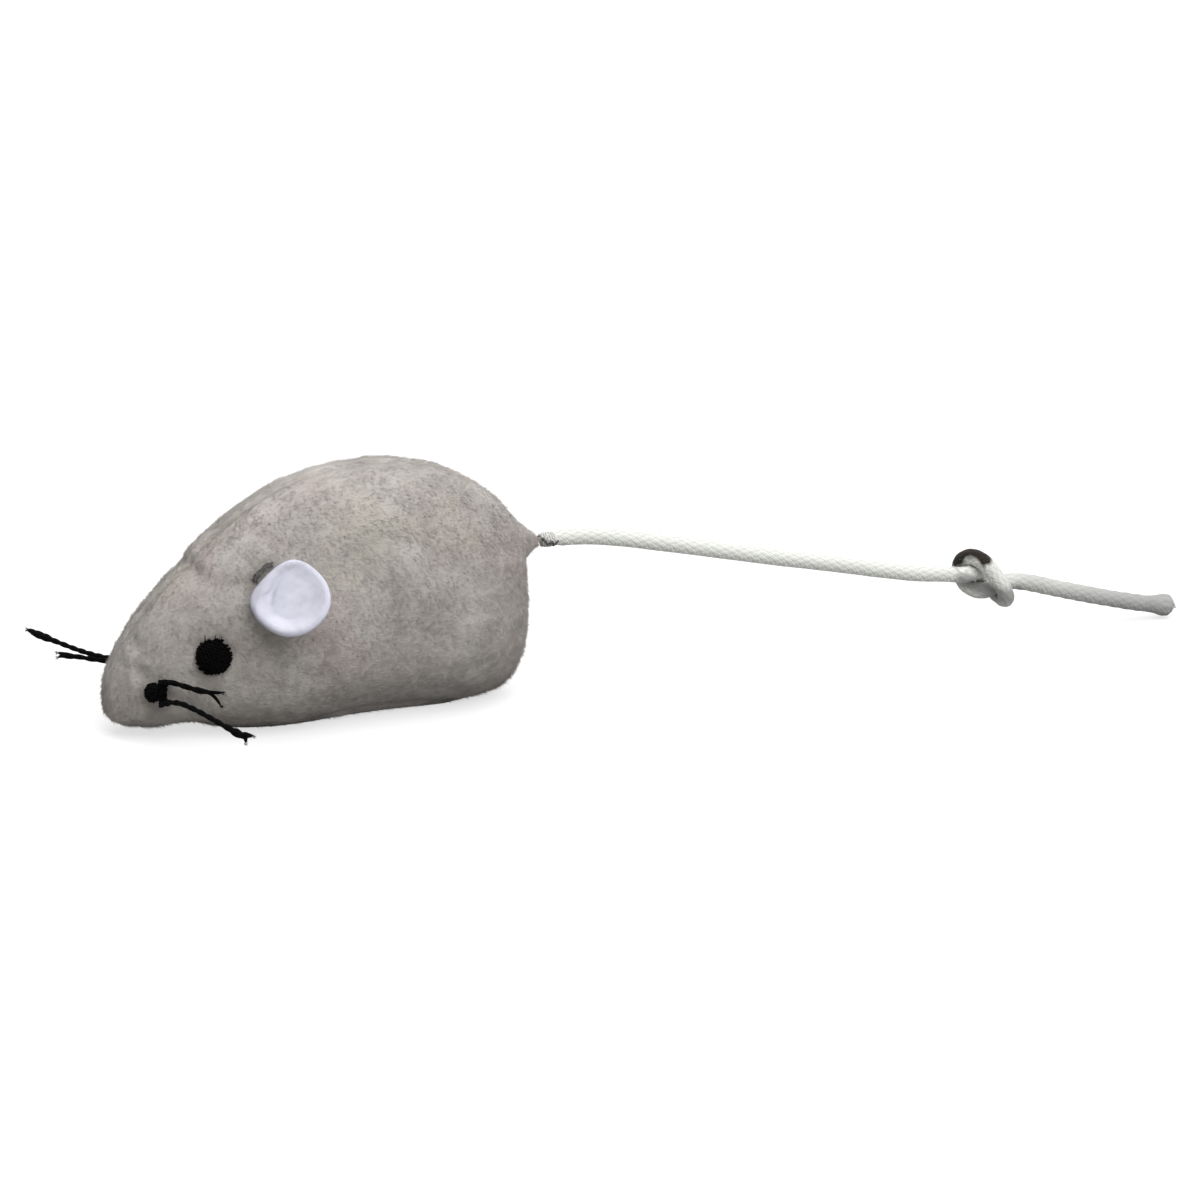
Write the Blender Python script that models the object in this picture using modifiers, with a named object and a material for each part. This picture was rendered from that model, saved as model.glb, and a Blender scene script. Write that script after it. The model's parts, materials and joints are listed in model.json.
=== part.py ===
"""Plush mouse cat toy: a stuffed body of three sewn plush panels, felt ears, embroidered eyes,
thread whiskers and a braided cord tail with an overhand knot.

The nose points to -X and the tail to +X, +Z is up, and the origin is the middle of the belly's
rest on the floor. The mouse's left side is at -Y. Lengths are in metres.
"""

import math

import bmesh
import bpy
from mathutils import Matrix, Vector
from mathutils.bvhtree import BVHTree

# Fits and cuts
GAP = 0.0003  # between pieces that touch
OVERRUN = 0.004  # how far a cutter runs past what it cuts
MERGE = 0.00001
SHARP = math.radians(40)  # edges sharper than this aren't smoothed

# Body
BODY_LENGTH = 0.0520
BODY_WIDTH = 0.0240
BODY_HEIGHT = 0.0300  # before the belly is flattened
BELLY_FLAT = 0.0005
PLUSH = 0.0016  # backing and pile together
# One row for each ring of the cage, from snout to rump: place along the body, half width, top,
# bottom and how wide the underside is. They are shares of the body's length, width and height.
RING_SHARES = (
    (0.012, 0.23, 0.29, 0.065, 1.00),
    (0.085, 0.43, 0.475, 0.040, 1.00),
    (0.205, 0.67, 0.675, 0.025, 0.80),
    (0.355, 0.91, 0.88, 0.000, 1.00),
    (0.520, 1.00, 0.985, 0.010, 0.75),
    (0.680, 1.00, 1.00, 0.010, 0.65),
    (0.825, 0.89, 0.94, 0.000, 0.95),
    (0.940, 0.64, 0.80, 0.045, 1.00),
    (0.992, 0.27, 0.64, 0.220, 1.00),
)
NOSE_HEIGHT_SHARE = 0.15
RUMP_HEIGHT_SHARE = 0.47
# Half of a ring from the back seam down to the belly: share of the half width, share of the
# height, and how far the underside's own share draws the corner in
SECTION_SHARES = (
    (0.00, 1.00, 0.0),
    (0.50, 0.95, 0.0),
    (0.90, 0.72, 0.0),
    (1.04, 0.42, 0.0),
    (0.96, 0.12, 0.4),
    (0.55, 0.00, 1.0),
    (0.00, 0.00, 0.0),
)
FORM_LEVELS = 2
INNER_LEVELS = 1

# Belly panel, an egg-shaped oval
BASE_LENGTH_SHARE = 0.81  # of the body's length
BASE_WIDTH_SHARE = 0.625  # of the body's width
BASE_NARROWING_SHARE = 0.25  # how much its front is narrower
BASE_SIDES = 48

# Sewing thread, on the inside of the seams
SEAM_THREAD_DIAMETER = 0.0004
BACK_SEAM_SHARES = (0.08, 0.93)  # its ends, along the body
BACK_SEAM_POINTS = 20
BASE_SEAM_POINTS = 24

# Tail root: the drawn-out point of the rump, the whipping and the cord inside
TAIL_HEIGHT_SHARE = 0.587  # over the floor, of the body's height
RUMP_POINT_LENGTH = 0.0022
RUMP_POINT_BASE = 0.0080  # diameter inside the plush
RUMP_POINT_TIP = 0.0023
RUMP_POINT_RINGS = 5
WHIPPING_DIAMETER = 0.0022
WHIPPING_TURNS = 4
WHIPPING_DEPTH_SHARE = 0.12  # of the grooves between its turns, of its radius
INNER_CORD_DIAMETER = 0.0011
ANCHOR_KNOT = 0.0038
ANCHOR_DEPTH = 0.0090  # from the rump to the anchor knot's middle

# Tail cord: places behind the whipping's middle, sideways and over the floor
CORD_DIAMETER = 0.0019
TAIL_LEAD = (
    (0.0045, 0.0000, 0.01750),
    (0.0090, -0.0001, 0.01685),
    (0.0140, -0.0003, 0.01585),
    (0.0190, -0.0005, 0.01480),
    (0.0240, -0.0007, 0.01370),
    (0.0290, -0.0010, 0.01265),
    (0.0340, -0.0013, 0.01165),
    (0.0390, -0.0016, 0.01065),
    (0.0440, -0.0019, 0.00960),
    (0.0485, -0.0022, 0.00880),
)
KNOT_PLACE = (0.0577, -0.0028, 0.00740)
TAIL_END = (
    (0.0669, -0.0033, 0.00530),
    (0.0708, -0.0037, 0.00425),
    (0.0751, -0.0040, 0.00315),
    (0.0793, -0.0043, 0.00220),
    (0.0833, -0.0045, 0.00155),
)
# Half of the overhand knot from its middle outwards, in pitches: along the tail and across it.
# The other half is this one turned half round.
KNOT_HALF_SHARES = (
    (0.00, 0.55, 0.00),
    (-0.65, 0.45, -0.75),
    (-1.20, -0.15, -1.20),
    (-1.45, -0.95, -1.10),
    (-1.20, -1.60, -0.45),
    (-0.55, -1.70, 0.30),
    (0.15, -1.20, 0.60),
    (0.85, -0.62, 0.32),
    (1.70, -0.46, 0.04),
    (2.60, -0.45, 0.00),
)
KNOT_CORD_SHARE = 0.80  # diameter of the cord where the knot squeezes it
KNOT_CLEARANCE = 0.00045
KNOT_TURN = math.radians(150)
KNOT_STEPS = 2  # points for each span of the knot
END_CORD_SHARE = 1.08
FRAY_SHARE = 1.50  # diameter of the frayed end

# Ears
EAR_DIAMETER = 0.0100
EAR_THICKNESS = 0.0009
EAR_CUP = 0.0010  # how far its rim stands over its middle
EAR_LIP = 0.0016
EAR_LIP_RISE = 0.0006
EAR_HINGE_SHARE = 0.42  # from the ear's middle to its tacked edge, of the diameter
EAR_RING_SHARES = (0.4, 0.75, 1.0)
EAR_SIDES = 20
EAR_TILT = math.radians(22)  # off the plush
EAR_LEAN = math.radians(45)  # of the tacked edge, off the level
EAR_PLACE_SHARES = (0.336, 0.638)  # of the tacked edge's middle, along the body and up
STITCH_LENGTH = 0.0030
STITCH_DIAMETER = 0.0006
STITCH_RISE = 0.0002  # of a straight stitch, so that it clears the rounded plush

# Eyes and whisker knots
PATCH_BACK_SHARE = 0.25  # of a patch's thickness, behind its widest line
EYE_DIAMETER = 0.0044
EYE_THICKNESS = 0.0011
EYE_PLACE_SHARES = (0.211, 0.343)

# Whiskers
WHISKER_DIAMETER = 0.0006
WHISKER_KNOT_WIDTH = 0.0024
WHISKER_KNOT_HEIGHT = 0.0030
WHISKER_KNOT_THICKNESS = 0.0018
WHISKER_PLACE_SHARES = (0.097, 0.205)
INNER_THREAD_DIAMETER = 0.0008
WHISKER_LENGTH = 0.0172  # of the longest
# Share of the longest one's length, place up the knot as a share of its height, and how much of
# its own length the strand bows up
WHISKER_SHARES = {
    "whisker_left_long": (0.89, -0.30, 0.03),
    "whisker_left_short": (0.43, 0.32, 0.05),
    "whisker_right_long": (1.00, 0.20, 0.00),
    "whisker_right_short": (0.47, -0.10, 0.00),
}
WHISKER_SWEEPS = {  # back from straight sideways
    "whisker_left_long": math.radians(17),
    "whisker_left_short": math.radians(38),
    "whisker_right_long": math.radians(-20),
    "whisker_right_short": math.radians(-36),
}
WHISKER_POINTS = 7

ROUND_SEGMENTS = 24
SMALL_SEGMENTS = 16


def make_material(name, colour, roughness, metallic=0.0):
    material = bpy.data.materials.new(name)
    material.use_nodes = True
    shader = material.node_tree.nodes["Principled BSDF"]
    shader.inputs["Base Color"].default_value = (*colour, 1.0)
    shader.inputs["Roughness"].default_value = roughness
    shader.inputs["Metallic"].default_value = metallic
    material.diffuse_color = (*colour, 1.0)
    return material


def new_collection(name):
    collection = bpy.data.collections.new(name)
    bpy.context.scene.collection.children.link(collection)
    return collection


def add_object(name, data, collection, material=None):
    obj = bpy.data.objects.new(name, data)
    collection.objects.link(obj)
    if material:
        data.materials.append(material)
    return obj


def add_part(name, mesh, material):
    obj = add_object(name, mesh, TOY, material)
    mesh.shade_smooth()
    mesh.set_sharp_from_angle(angle=SHARP)
    return obj


def add_cutter(name, mesh):
    cutter = add_object(name, mesh, CUTTERS)
    cutter.hide_render = True
    cutter.display_type = "WIRE"
    return cutter


def mesh_of(bm, name):
    """The bmesh as a new mesh, with its faces turned outwards."""
    bmesh.ops.recalc_face_normals(bm, faces=bm.faces)
    mesh = bpy.data.meshes.new(name)
    bm.to_mesh(mesh)
    bm.free()
    return mesh


def baked(obj):
    """The object's evaluated mesh in world space, welded. The object is removed."""
    bpy.context.view_layer.update()
    graph = bpy.context.evaluated_depsgraph_get()
    mesh = bpy.data.meshes.new_from_object(obj.evaluated_get(graph))
    mesh.transform(obj.matrix_world)
    bm = bmesh.new()
    bm.from_mesh(mesh)
    bmesh.ops.remove_doubles(bm, verts=bm.verts, dist=MERGE)
    bm.to_mesh(mesh)
    bm.free()
    bpy.data.objects.remove(obj)
    return mesh


def cut(obj, cutter, operation="DIFFERENCE"):
    modifier = obj.modifiers.new(f"{operation.lower()} {cutter.name}", "BOOLEAN")
    modifier.operation = operation
    modifier.object = cutter


def joined(meshes, name):
    """Overlapping closed meshes united into one."""
    first, *others = [add_object(name, mesh, CUTTERS) for mesh in meshes]
    for other in others:
        cut(first, other, "UNION")
    mesh = baked(first)
    for other in others:
        bpy.data.objects.remove(other)
    return mesh


def box_mesh(low, high):
    bm = bmesh.new()
    place = Matrix.Translation((Vector(high) + Vector(low)) / 2)
    size = Matrix.Diagonal((*(Vector(high) - Vector(low)), 1.0))
    bmesh.ops.create_cube(bm, size=1.0, matrix=place @ size)
    return mesh_of(bm, "box")


def rod_mesh(start, end, diameter, end_diameter=None):
    """A straight rod, or a cone with an end diameter."""
    bm = bmesh.new()
    way = Vector(end) - Vector(start)
    place = Matrix.Translation((Vector(start) + Vector(end)) / 2)
    bmesh.ops.create_cone(
        bm,
        cap_ends=True,
        segments=ROUND_SEGMENTS,
        radius1=diameter / 2,
        radius2=(end_diameter or diameter) / 2,
        depth=way.length,
        matrix=place @ way.to_track_quat("Z", "Y").to_matrix().to_4x4(),
    )
    return mesh_of(bm, "rod")


def ball_mesh(middle, diameter):
    bm = bmesh.new()
    bmesh.ops.create_uvsphere(
        bm,
        u_segments=SMALL_SEGMENTS,
        v_segments=SMALL_SEGMENTS // 2,
        radius=diameter / 2,
        matrix=Matrix.Translation(middle),
    )
    return mesh_of(bm, "ball")


def tube(name, points, diameter, collection, material=None, radii=None, loop=False):
    """A round tube along a list of points, with closed ends or as a loop."""
    curve = bpy.data.curves.new(name, "CURVE")
    curve.dimensions = "3D"
    curve.bevel_depth = diameter / 2
    curve.bevel_resolution = 1 if loop else 2
    curve.use_fill_caps = True
    spline = curve.splines.new("POLY")
    spline.use_cyclic_u = loop
    spline.points.add(len(points) - 1)
    for number, (point, place) in enumerate(zip(spline.points, points)):
        point.co = (*place, 1.0)
        point.radius = radii[number] if radii else 1.0
    return add_object(name, curve, collection, material)


def turned(name, profile, place, collection, material=None):
    """A profile of (radius, height) points turned round, and laid along X at its place."""
    mesh = bpy.data.meshes.new(name)
    points = [(radius, 0.0, height) for radius, height in reversed(profile)]
    edges = [(number, number + 1) for number in range(len(points) - 1)]
    mesh.from_pydata(points, edges, [])
    obj = add_object(name, mesh, collection, material)
    screw = obj.modifiers.new("turn", "SCREW")
    screw.steps = screw.render_steps = SMALL_SEGMENTS
    screw.use_merge_vertices = True
    screw.merge_threshold = MERGE
    obj.location = place
    obj.rotation_euler = (0.0, math.pi / 2, 0.0)
    return obj


def rump_point_profile():
    """From its flat end inside the plush, out along a hollow curve, to its flat tip."""
    profile = [(0.0, -PLUSH)]
    for number in range(RUMP_POINT_RINGS + 1):
        share = number / RUMP_POINT_RINGS
        diameter = RUMP_POINT_TIP + (RUMP_POINT_BASE - RUMP_POINT_TIP) * (1 - share) ** 2
        profile.append((diameter / 2, -PLUSH + share * (PLUSH + RUMP_POINT_LENGTH)))
    return profile + [(0.0, RUMP_POINT_LENGTH)]


def smooth_route(points, steps):
    """Points on a smooth curve through the given ones, with as many steps for each span."""
    points = [Vector(point) for point in points]
    spans = [(b - a).length for a, b in zip(points, points[1:])]
    slopes = []
    for number in range(len(points)):
        before = max(number - 1, 0)
        after = min(number, len(spans) - 1)
        first = (points[before + 1] - points[before]) / spans[before]
        second = (points[after + 1] - points[after]) / spans[after]
        weight = spans[after] / (spans[before] + spans[after])
        slopes.append(first * weight + second * (1 - weight))
    route = []
    for number, span in enumerate(spans):
        for step in range(steps[number]):
            t = step / steps[number]
            lead = points[number] * (2 * t**3 - 3 * t**2 + 1)
            lead += points[number + 1] * (3 * t**2 - 2 * t**3)
            turn = slopes[number] * (t**3 - 2 * t**2 + t) + slopes[number + 1] * (t**3 - t**2)
            route.append(lead + turn * span)
    return route + [points[-1]]


def section_point(ring, step):
    """A corner of the cage, from the ring's shares and the corner's number round from the top."""
    along, half_width, top, bottom, underside = ring
    half = len(SECTION_SHARES) - 1
    side = 1 if step <= half else -1
    across, up, drawn = SECTION_SHARES[step if step <= half else 2 * half - step]
    across *= 1 - drawn * (1 - underside)
    return Vector((along, side * across * half_width, bottom + up * (top - bottom)))


def form_cage():
    """The body's cage in shares: a ball with its poles at nose and rump, shaped ring by ring."""
    steps = 2 * (len(SECTION_SHARES) - 1)
    rings = len(RING_SHARES) + 1
    bm = bmesh.new()
    bmesh.ops.create_uvsphere(bm, u_segments=steps, v_segments=rings, radius=1.0)
    for vert in bm.verts:
        ring = round(math.acos(max(-1.0, min(1.0, vert.co.z))) / math.pi * rings)
        step = round(math.atan2(vert.co.y, vert.co.x) / (2 * math.pi) * steps) % steps
        if ring == 0:
            vert.co = (0.0, 0.0, NOSE_HEIGHT_SHARE)
        elif ring == rings:
            vert.co = (1.0, 0.0, RUMP_HEIGHT_SHARE)
        else:
            vert.co = section_point(RING_SHARES[ring - 1], step)
    return mesh_of(bm, "cage")


def subdivided(mesh, levels):
    obj = add_object("form", mesh.copy(), CUTTERS)
    modifier = obj.modifiers.new("soften", "SUBSURF")
    modifier.levels = modifier.render_levels = levels
    return baked(obj)


def sized_form(cage, levels):
    """The subdivided cage at the body's real size, its lowest point BELLY_FLAT under the floor."""
    corners = [vert.co for vert in subdivided(cage, FORM_LEVELS).vertices]
    low = Vector([min(co[axis] for co in corners) for axis in range(3)])
    high = Vector([max(co[axis] for co in corners) for axis in range(3)])
    span = high - low
    scale = (BODY_LENGTH / span.x, BODY_WIDTH / span.y, BODY_HEIGHT / span.z, 1.0)
    foot = Vector(((low.x + high.x) / 2, (low.y + high.y) / 2, low.z))
    mesh = subdivided(cage, levels)
    mesh.transform(Matrix.Diagonal(scale) @ Matrix.Translation(-foot))
    mesh.transform(Matrix.Translation((0.0, 0.0, -BELLY_FLAT)))
    return mesh


def inset(mesh, depth):
    """The mesh with every point moved inwards, square to the surface."""
    bm = bmesh.new()
    bm.from_mesh(mesh)
    bmesh.ops.recalc_face_normals(bm, faces=bm.faces)
    bm.normal_update()
    for vert, normal in [(vert, vert.normal.copy()) for vert in bm.verts]:
        vert.co -= normal * depth
    return mesh_of(bm, "inset form")


def surface_of(mesh):
    bm = bmesh.new()
    bm.from_mesh(mesh)
    tree = BVHTree.FromBMesh(bm)
    bm.free()
    return tree


def on_side(surface, shares, side):
    """Where a piece sits on a side panel: the point and the outward normal."""
    along, up = shares
    start = Vector(((along - 0.5) * BODY_LENGTH, side * BODY_WIDTH, up * BODY_HEIGHT))
    place, normal, _, _ = surface.ray_cast(start, Vector((0.0, -side, 0.0)))
    return place, normal


def rump_place(surface):
    start = Vector((BODY_LENGTH, 0.0, TAIL_HEIGHT_SHARE * BODY_HEIGHT))
    return surface.ray_cast(start, Vector((-1.0, 0.0, 0.0)))[0]


def facing(place, normal):
    """A frame on the surface, with its Z square to it and its Y as near upright as it can be."""
    up = (Vector((0.0, 0.0, 1.0)) - normal * normal.z).normalized()
    across = up.cross(normal)
    turn = Matrix((across, up, normal)).transposed().to_4x4()
    return Matrix.Translation(place) @ turn


def hugged(mesh, frame, surface):
    """A mesh made on a flat, bent on to the curved plush that it sits on."""
    normal = frame.to_3x3().col[2]
    for vert in mesh.vertices:
        flat = frame @ Vector((vert.co.x, vert.co.y, 0.0))
        hit = surface.ray_cast(flat + normal * OVERRUN, -normal)[0]
        if hit:
            vert.co.z += (hit - flat).dot(normal)
    return mesh


def lens_mesh(width, height, thickness):
    """A round patch with a domed front and a nearly flat back, GAP over its frame."""
    bm = bmesh.new()
    bmesh.ops.create_uvsphere(
        bm, u_segments=ROUND_SEGMENTS, v_segments=SMALL_SEGMENTS, radius=1.0
    )
    for vert in bm.verts:
        vert.co.x *= width / 2
        vert.co.y *= height / 2
        back = PATCH_BACK_SHARE * (1 + min(vert.co.z, 0.0))
        front = (1 - PATCH_BACK_SHARE) * max(vert.co.z, 0.0)
        vert.co.z = GAP + thickness * (back + front)
    return mesh_of(bm, "patch")


def base_edge(x, y, grow):
    """A point of the unit circle, moved to the belly panel's oval grown by a clearance."""
    length = BASE_LENGTH_SHARE * BODY_LENGTH
    width = BASE_WIDTH_SHARE * BODY_WIDTH * (1 - BASE_NARROWING_SHARE * (1 - x) / 2)
    return x * (length / 2 + grow), y * (width / 2 + grow)


def base_outline(grow):
    """The belly panel's oval as a tall prism."""
    bm = bmesh.new()
    bmesh.ops.create_cone(
        bm, cap_ends=True, segments=BASE_SIDES, radius1=1.0, radius2=1.0, depth=BODY_HEIGHT / 2
    )
    for vert in bm.verts:
        vert.co.x, vert.co.y = base_edge(vert.co.x, vert.co.y, grow)
    return mesh_of(bm, "base outline")


def inside_of(surface, x, y, way):
    """Where a seam's thread lies under the panels, met from outside straight up or down."""
    start = Vector((x, y, -2 * way * BODY_HEIGHT))
    place, normal, _, _ = surface.ray_cast(start, Vector((0.0, 0.0, way)))
    return place - normal * (GAP + SEAM_THREAD_DIAMETER / 2)


def build_seams(filling, inner_form):
    """The thread along the back seam and round the belly panel, each in its own groove."""
    surface = surface_of(inner_form)
    first, last = [(share - 0.5) * BODY_LENGTH for share in BACK_SEAM_SHARES]
    step = (last - first) / (BACK_SEAM_POINTS - 1)
    back = [inside_of(surface, first + step * n, 0.0, -1) for n in range(BACK_SEAM_POINTS)]
    base = []
    for number in range(BASE_SEAM_POINTS):
        angle = 2 * math.pi * number / BASE_SEAM_POINTS
        x, y = base_edge(math.cos(angle), math.sin(angle), GAP / 2)
        base.append(inside_of(surface, x, y, 1))
    groove_diameter = SEAM_THREAD_DIAMETER + 2 * GAP
    for name, points, loop in (("back_seam", back, False), ("base_seam", base, True)):
        groove = baked(tube(name, points, groove_diameter, CUTTERS, loop=loop))
        cut(filling, add_cutter(f"{name}_groove", groove))
        tube(f"{name}_thread", points, SEAM_THREAD_DIAMETER, TOY, THREAD_GREY, loop=loop)


def build_body(cage, surface):
    """Three plush panels cut from one thick-walled form, and the filling inside them."""
    rump = rump_place(surface)
    along = Vector((1.0, 0.0, 0.0))
    tip = rump + along * RUMP_POINT_LENGTH
    point = baked(turned("rump_point", rump_point_profile(), rump, CUTTERS))
    outer = joined([sized_form(cage, FORM_LEVELS), point], "outer form")

    far = BODY_LENGTH
    anchor = rump - along * ANCHOR_DEPTH
    inner_form = inset(sized_form(cage, INNER_LEVELS), PLUSH)
    hollow = add_cutter("hollow", inner_form)
    floor = add_cutter("floor", box_mesh((-far, -far, -far), (far, far, 0.0)))
    left_half = add_cutter("left_half", box_mesh((-far, -far, -far), (far, GAP / 2, far)))
    right_half = add_cutter("right_half", box_mesh((-far, -GAP / 2, -far), (far, far, far)))
    belly_hole = add_cutter("belly_hole", base_outline(GAP))
    belly_oval = add_cutter("belly_oval", base_outline(0.0))
    cord_hole = rod_mesh(anchor, tip + along * OVERRUN, INNER_CORD_DIAMETER + 2 * GAP)
    cord_hole = add_cutter("cord_hole", cord_hole)
    pocket = add_cutter("anchor_pocket", ball_mesh(anchor, ANCHOR_KNOT + 2 * GAP))
    left, right = [on_side(surface, WHISKER_PLACE_SHARES, side)[0] for side in (-1, 1)]
    over = (left - right).normalized() * OVERRUN
    thread_hole = rod_mesh(left + over, right - over, INNER_THREAD_DIAMETER + 2 * GAP)
    thread_hole = add_cutter("thread_hole", thread_hole)

    for name, other_half in (("left_side_panel", right_half), ("right_side_panel", left_half)):
        panel = add_part(name, outer.copy(), PLUSH_GREY)
        for cutter in (hollow, other_half, belly_hole, cord_hole, thread_hole):
            cut(panel, cutter)
    base = add_part("base_panel", outer.copy(), PLUSH_GREY)
    cut(base, hollow)
    cut(base, belly_oval, "INTERSECT")
    cut(base, floor)

    filling = inset(sized_form(cage, INNER_LEVELS), PLUSH + GAP)
    filling = add_part("fibre_filling", filling, FIBRE_WHITE)
    for cutter in (pocket, cord_hole, thread_hole):
        cut(filling, cutter)
    build_seams(filling, inner_form)
    return rump


def build_tail_root(rump):
    """The cord's inner end with its anchor knot, and the whipping round it behind the rump."""
    along = Vector((1.0, 0.0, 0.0))
    anchor = rump - along * ANCHOR_DEPTH
    cord = rod_mesh(anchor, rump + along * RUMP_POINT_LENGTH, INNER_CORD_DIAMETER)
    knot = ball_mesh(anchor, ANCHOR_KNOT)
    add_part("tail_inner_cord", joined([knot, cord], "inner cord"), CORD_WHITE)

    radius = WHIPPING_DIAMETER / 2
    pivot = rump + along * (RUMP_POINT_LENGTH + GAP + radius)
    profile = []
    count = 4 * WHIPPING_TURNS
    for number in range(count + 1):
        share = number / count
        rib = 1 - WHIPPING_DEPTH_SHARE * math.sin(math.pi * share * WHIPPING_TURNS) ** 2
        angle = math.pi * share
        profile.append((radius * math.sin(angle) * rib, -radius * math.cos(angle)))
    turned("tail_whipping", profile, pivot, TOY, THREAD_GREY)
    return pivot


def knot_points(axis, middle):
    """The overhand knot's points, laid along the cord's own direction there."""
    pitch = CORD_DIAMETER * KNOT_CORD_SHARE + KNOT_CLEARANCE
    up = (Vector((0.0, 0.0, 1.0)) - axis * axis.z).normalized()
    side = up.cross(axis)
    half = [Vector(share) for share in KNOT_HALF_SHARES]
    other = [Vector((-x, y, -z)) for x, y, z in reversed(half[1:])]
    drop = half[-1].y
    turn = Matrix.Rotation(KNOT_TURN, 3, "X")
    points = []
    for share in other + half:
        local = turn @ Vector((share.x, share.y - drop, share.z)) * pitch
        points.append(middle + axis * local.x + side * local.y + up * local.z)
    return points


def least_gap(points, radii, reach):
    """The least gap between two stretches of a tube that lie further apart along it than reach."""
    run = [0.0]
    for first, second in zip(points, points[1:]):
        run.append(run[-1] + (second - first).length)
    gaps = [
        (points[one] - points[two]).length - radii[one] - radii[two]
        for one in range(len(points))
        for two in range(one)
        if run[one] - run[two] > reach
    ]
    return min(gaps)


def build_tail(pivot):
    """The braided cord from the whipping to its frayed end, one unbroken tube with its knot."""
    floor = Vector((pivot.x, 0.0, 0.0))
    start = pivot + Vector((WHIPPING_DIAMETER / 2 + GAP, 0.0, 0.0))
    lead = [start] + [floor + Vector(place) for place in TAIL_LEAD]
    end = [floor + Vector(place) for place in TAIL_END]
    knot = knot_points((end[0] - lead[-1]).normalized(), floor + Vector(KNOT_PLACE))
    points = lead + knot + end
    steps = [1] * (len(lead) - 1) + [2] + [KNOT_STEPS] * (len(knot) - 1) + [2]
    steps += [1] * (len(end) - 1)
    route = smooth_route(points, steps)

    before = sum(steps[: len(lead)])
    after = before + KNOT_STEPS * (len(knot) - 1)
    radii = []
    for number in range(len(route)):
        if number < before:
            radii.append(1.0)
        elif number <= after:
            radii.append(KNOT_CORD_SHARE)
        else:
            radii.append(END_CORD_SHARE)
    radii[-1] = FRAY_SHARE
    tube("tail_cord", route, CORD_DIAMETER, TOY, CORD_WHITE, radii)

    real_radii = [radius * CORD_DIAMETER / 2 for radius in radii]
    gap = least_gap(route, real_radii, 2 * CORD_DIAMETER)
    length = sum((b - a).length for a, b in zip(route, route[1:]))
    print(f"tail cord: {length * 1000:.1f} mm long, least gap to itself {gap * 1000:.2f} mm")


def ear_mesh():
    """A felt disc with a straight tacked edge along X at Y = 0, a lip there and a raised rim."""
    radius = EAR_DIAMETER / 2
    hinge = EAR_HINGE_SHARE * EAR_DIAMETER
    bm = bmesh.new()
    rings = [[bm.verts.new((0.0, 0.0, 0.0))]]
    for share in EAR_RING_SHARES:
        ring = []
        for number in range(EAR_SIDES):
            angle = 2 * math.pi * number / EAR_SIDES
            ring.append(bm.verts.new((share * math.cos(angle), share * math.sin(angle), 0.0)))
        rings.append(ring)
    for number in range(EAR_SIDES):
        after = (number + 1) % EAR_SIDES
        bm.faces.new((rings[0][0], rings[1][number], rings[1][after]))
        for inner, outer in zip(rings[1:], rings[2:]):
            bm.faces.new((inner[number], outer[number], outer[after], inner[after]))
    for vert in bm.verts:
        share = vert.co.length
        cup = EAR_CUP * share**2
        y = max(vert.co.y * radius + hinge, 0.0)
        lip = max(0.0, 1 - y / EAR_LIP)
        vert.co = (vert.co.x * radius, y, cup * (1 - lip) - EAR_LIP_RISE * (1 - lip**2))
    return mesh_of(bm, "ear")


def ear_frame(place, normal, side):
    """The ear's frame: X along its tacked edge, Y across the ear and Z out of its hollow face."""
    up = (Vector((0.0, 0.0, 1.0)) - normal * normal.z).normalized()
    back = up.cross(normal) * -side
    edge = back * math.cos(EAR_LEAN) + up * math.sin(EAR_LEAN)
    flat = back * math.sin(EAR_LEAN) - up * math.cos(EAR_LEAN)
    across = flat * math.cos(EAR_TILT) + normal * math.sin(EAR_TILT)
    out = normal * math.cos(EAR_TILT) - flat * math.sin(EAR_TILT)
    turn = Matrix((edge * side, across, out)).transposed().to_4x4()
    return Matrix.Translation(place + normal * (GAP + EAR_THICKNESS / 2)) @ turn, flat


def build_ear(word, side, surface):
    place, normal = on_side(surface, EAR_PLACE_SHARES, side)
    frame, flat = ear_frame(place, normal, side)
    ear = add_part(f"ear_{word}", ear_mesh(), FELT_WHITE)
    ear.matrix_world = frame
    felt = ear.modifiers.new("felt", "SOLIDIFY")
    felt.thickness = EAR_THICKNESS
    felt.offset = 0.0
    soften = ear.modifiers.new("soften", "SUBSURF")
    soften.levels = soften.render_levels = 1

    setback = (EAR_THICKNESS + STITCH_DIAMETER) / 2
    spot, out, _, _ = surface.find_nearest(place - flat * setback)
    edge = frame.to_3x3().col[0] * STITCH_LENGTH / 2
    centre = spot + out * (GAP + STITCH_DIAMETER / 2 + STITCH_RISE)
    stitch = rod_mesh(centre - edge, centre + edge, STITCH_DIAMETER)
    add_part(f"ear_{word}_stitch", stitch, THREAD_GREY)


def build_face(word, side, surface):
    """The embroidered eye and the whisker knot of one side."""
    for name, shares, sizes in (
        (f"eye_{word}", EYE_PLACE_SHARES, (EYE_DIAMETER, EYE_DIAMETER, EYE_THICKNESS)),
        (
            f"whisker_knot_{word}",
            WHISKER_PLACE_SHARES,
            (WHISKER_KNOT_WIDTH, WHISKER_KNOT_HEIGHT, WHISKER_KNOT_THICKNESS),
        ),
    ):
        frame = facing(*on_side(surface, shares, side))
        patch = add_part(name, hugged(lens_mesh(*sizes), frame, surface), THREAD_BLACK)
        patch.matrix_world = frame


def knot_middle(surface, side):
    place, normal = on_side(surface, WHISKER_PLACE_SHARES, side)
    return place + normal * (GAP + WHISKER_KNOT_THICKNESS / 2)


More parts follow.
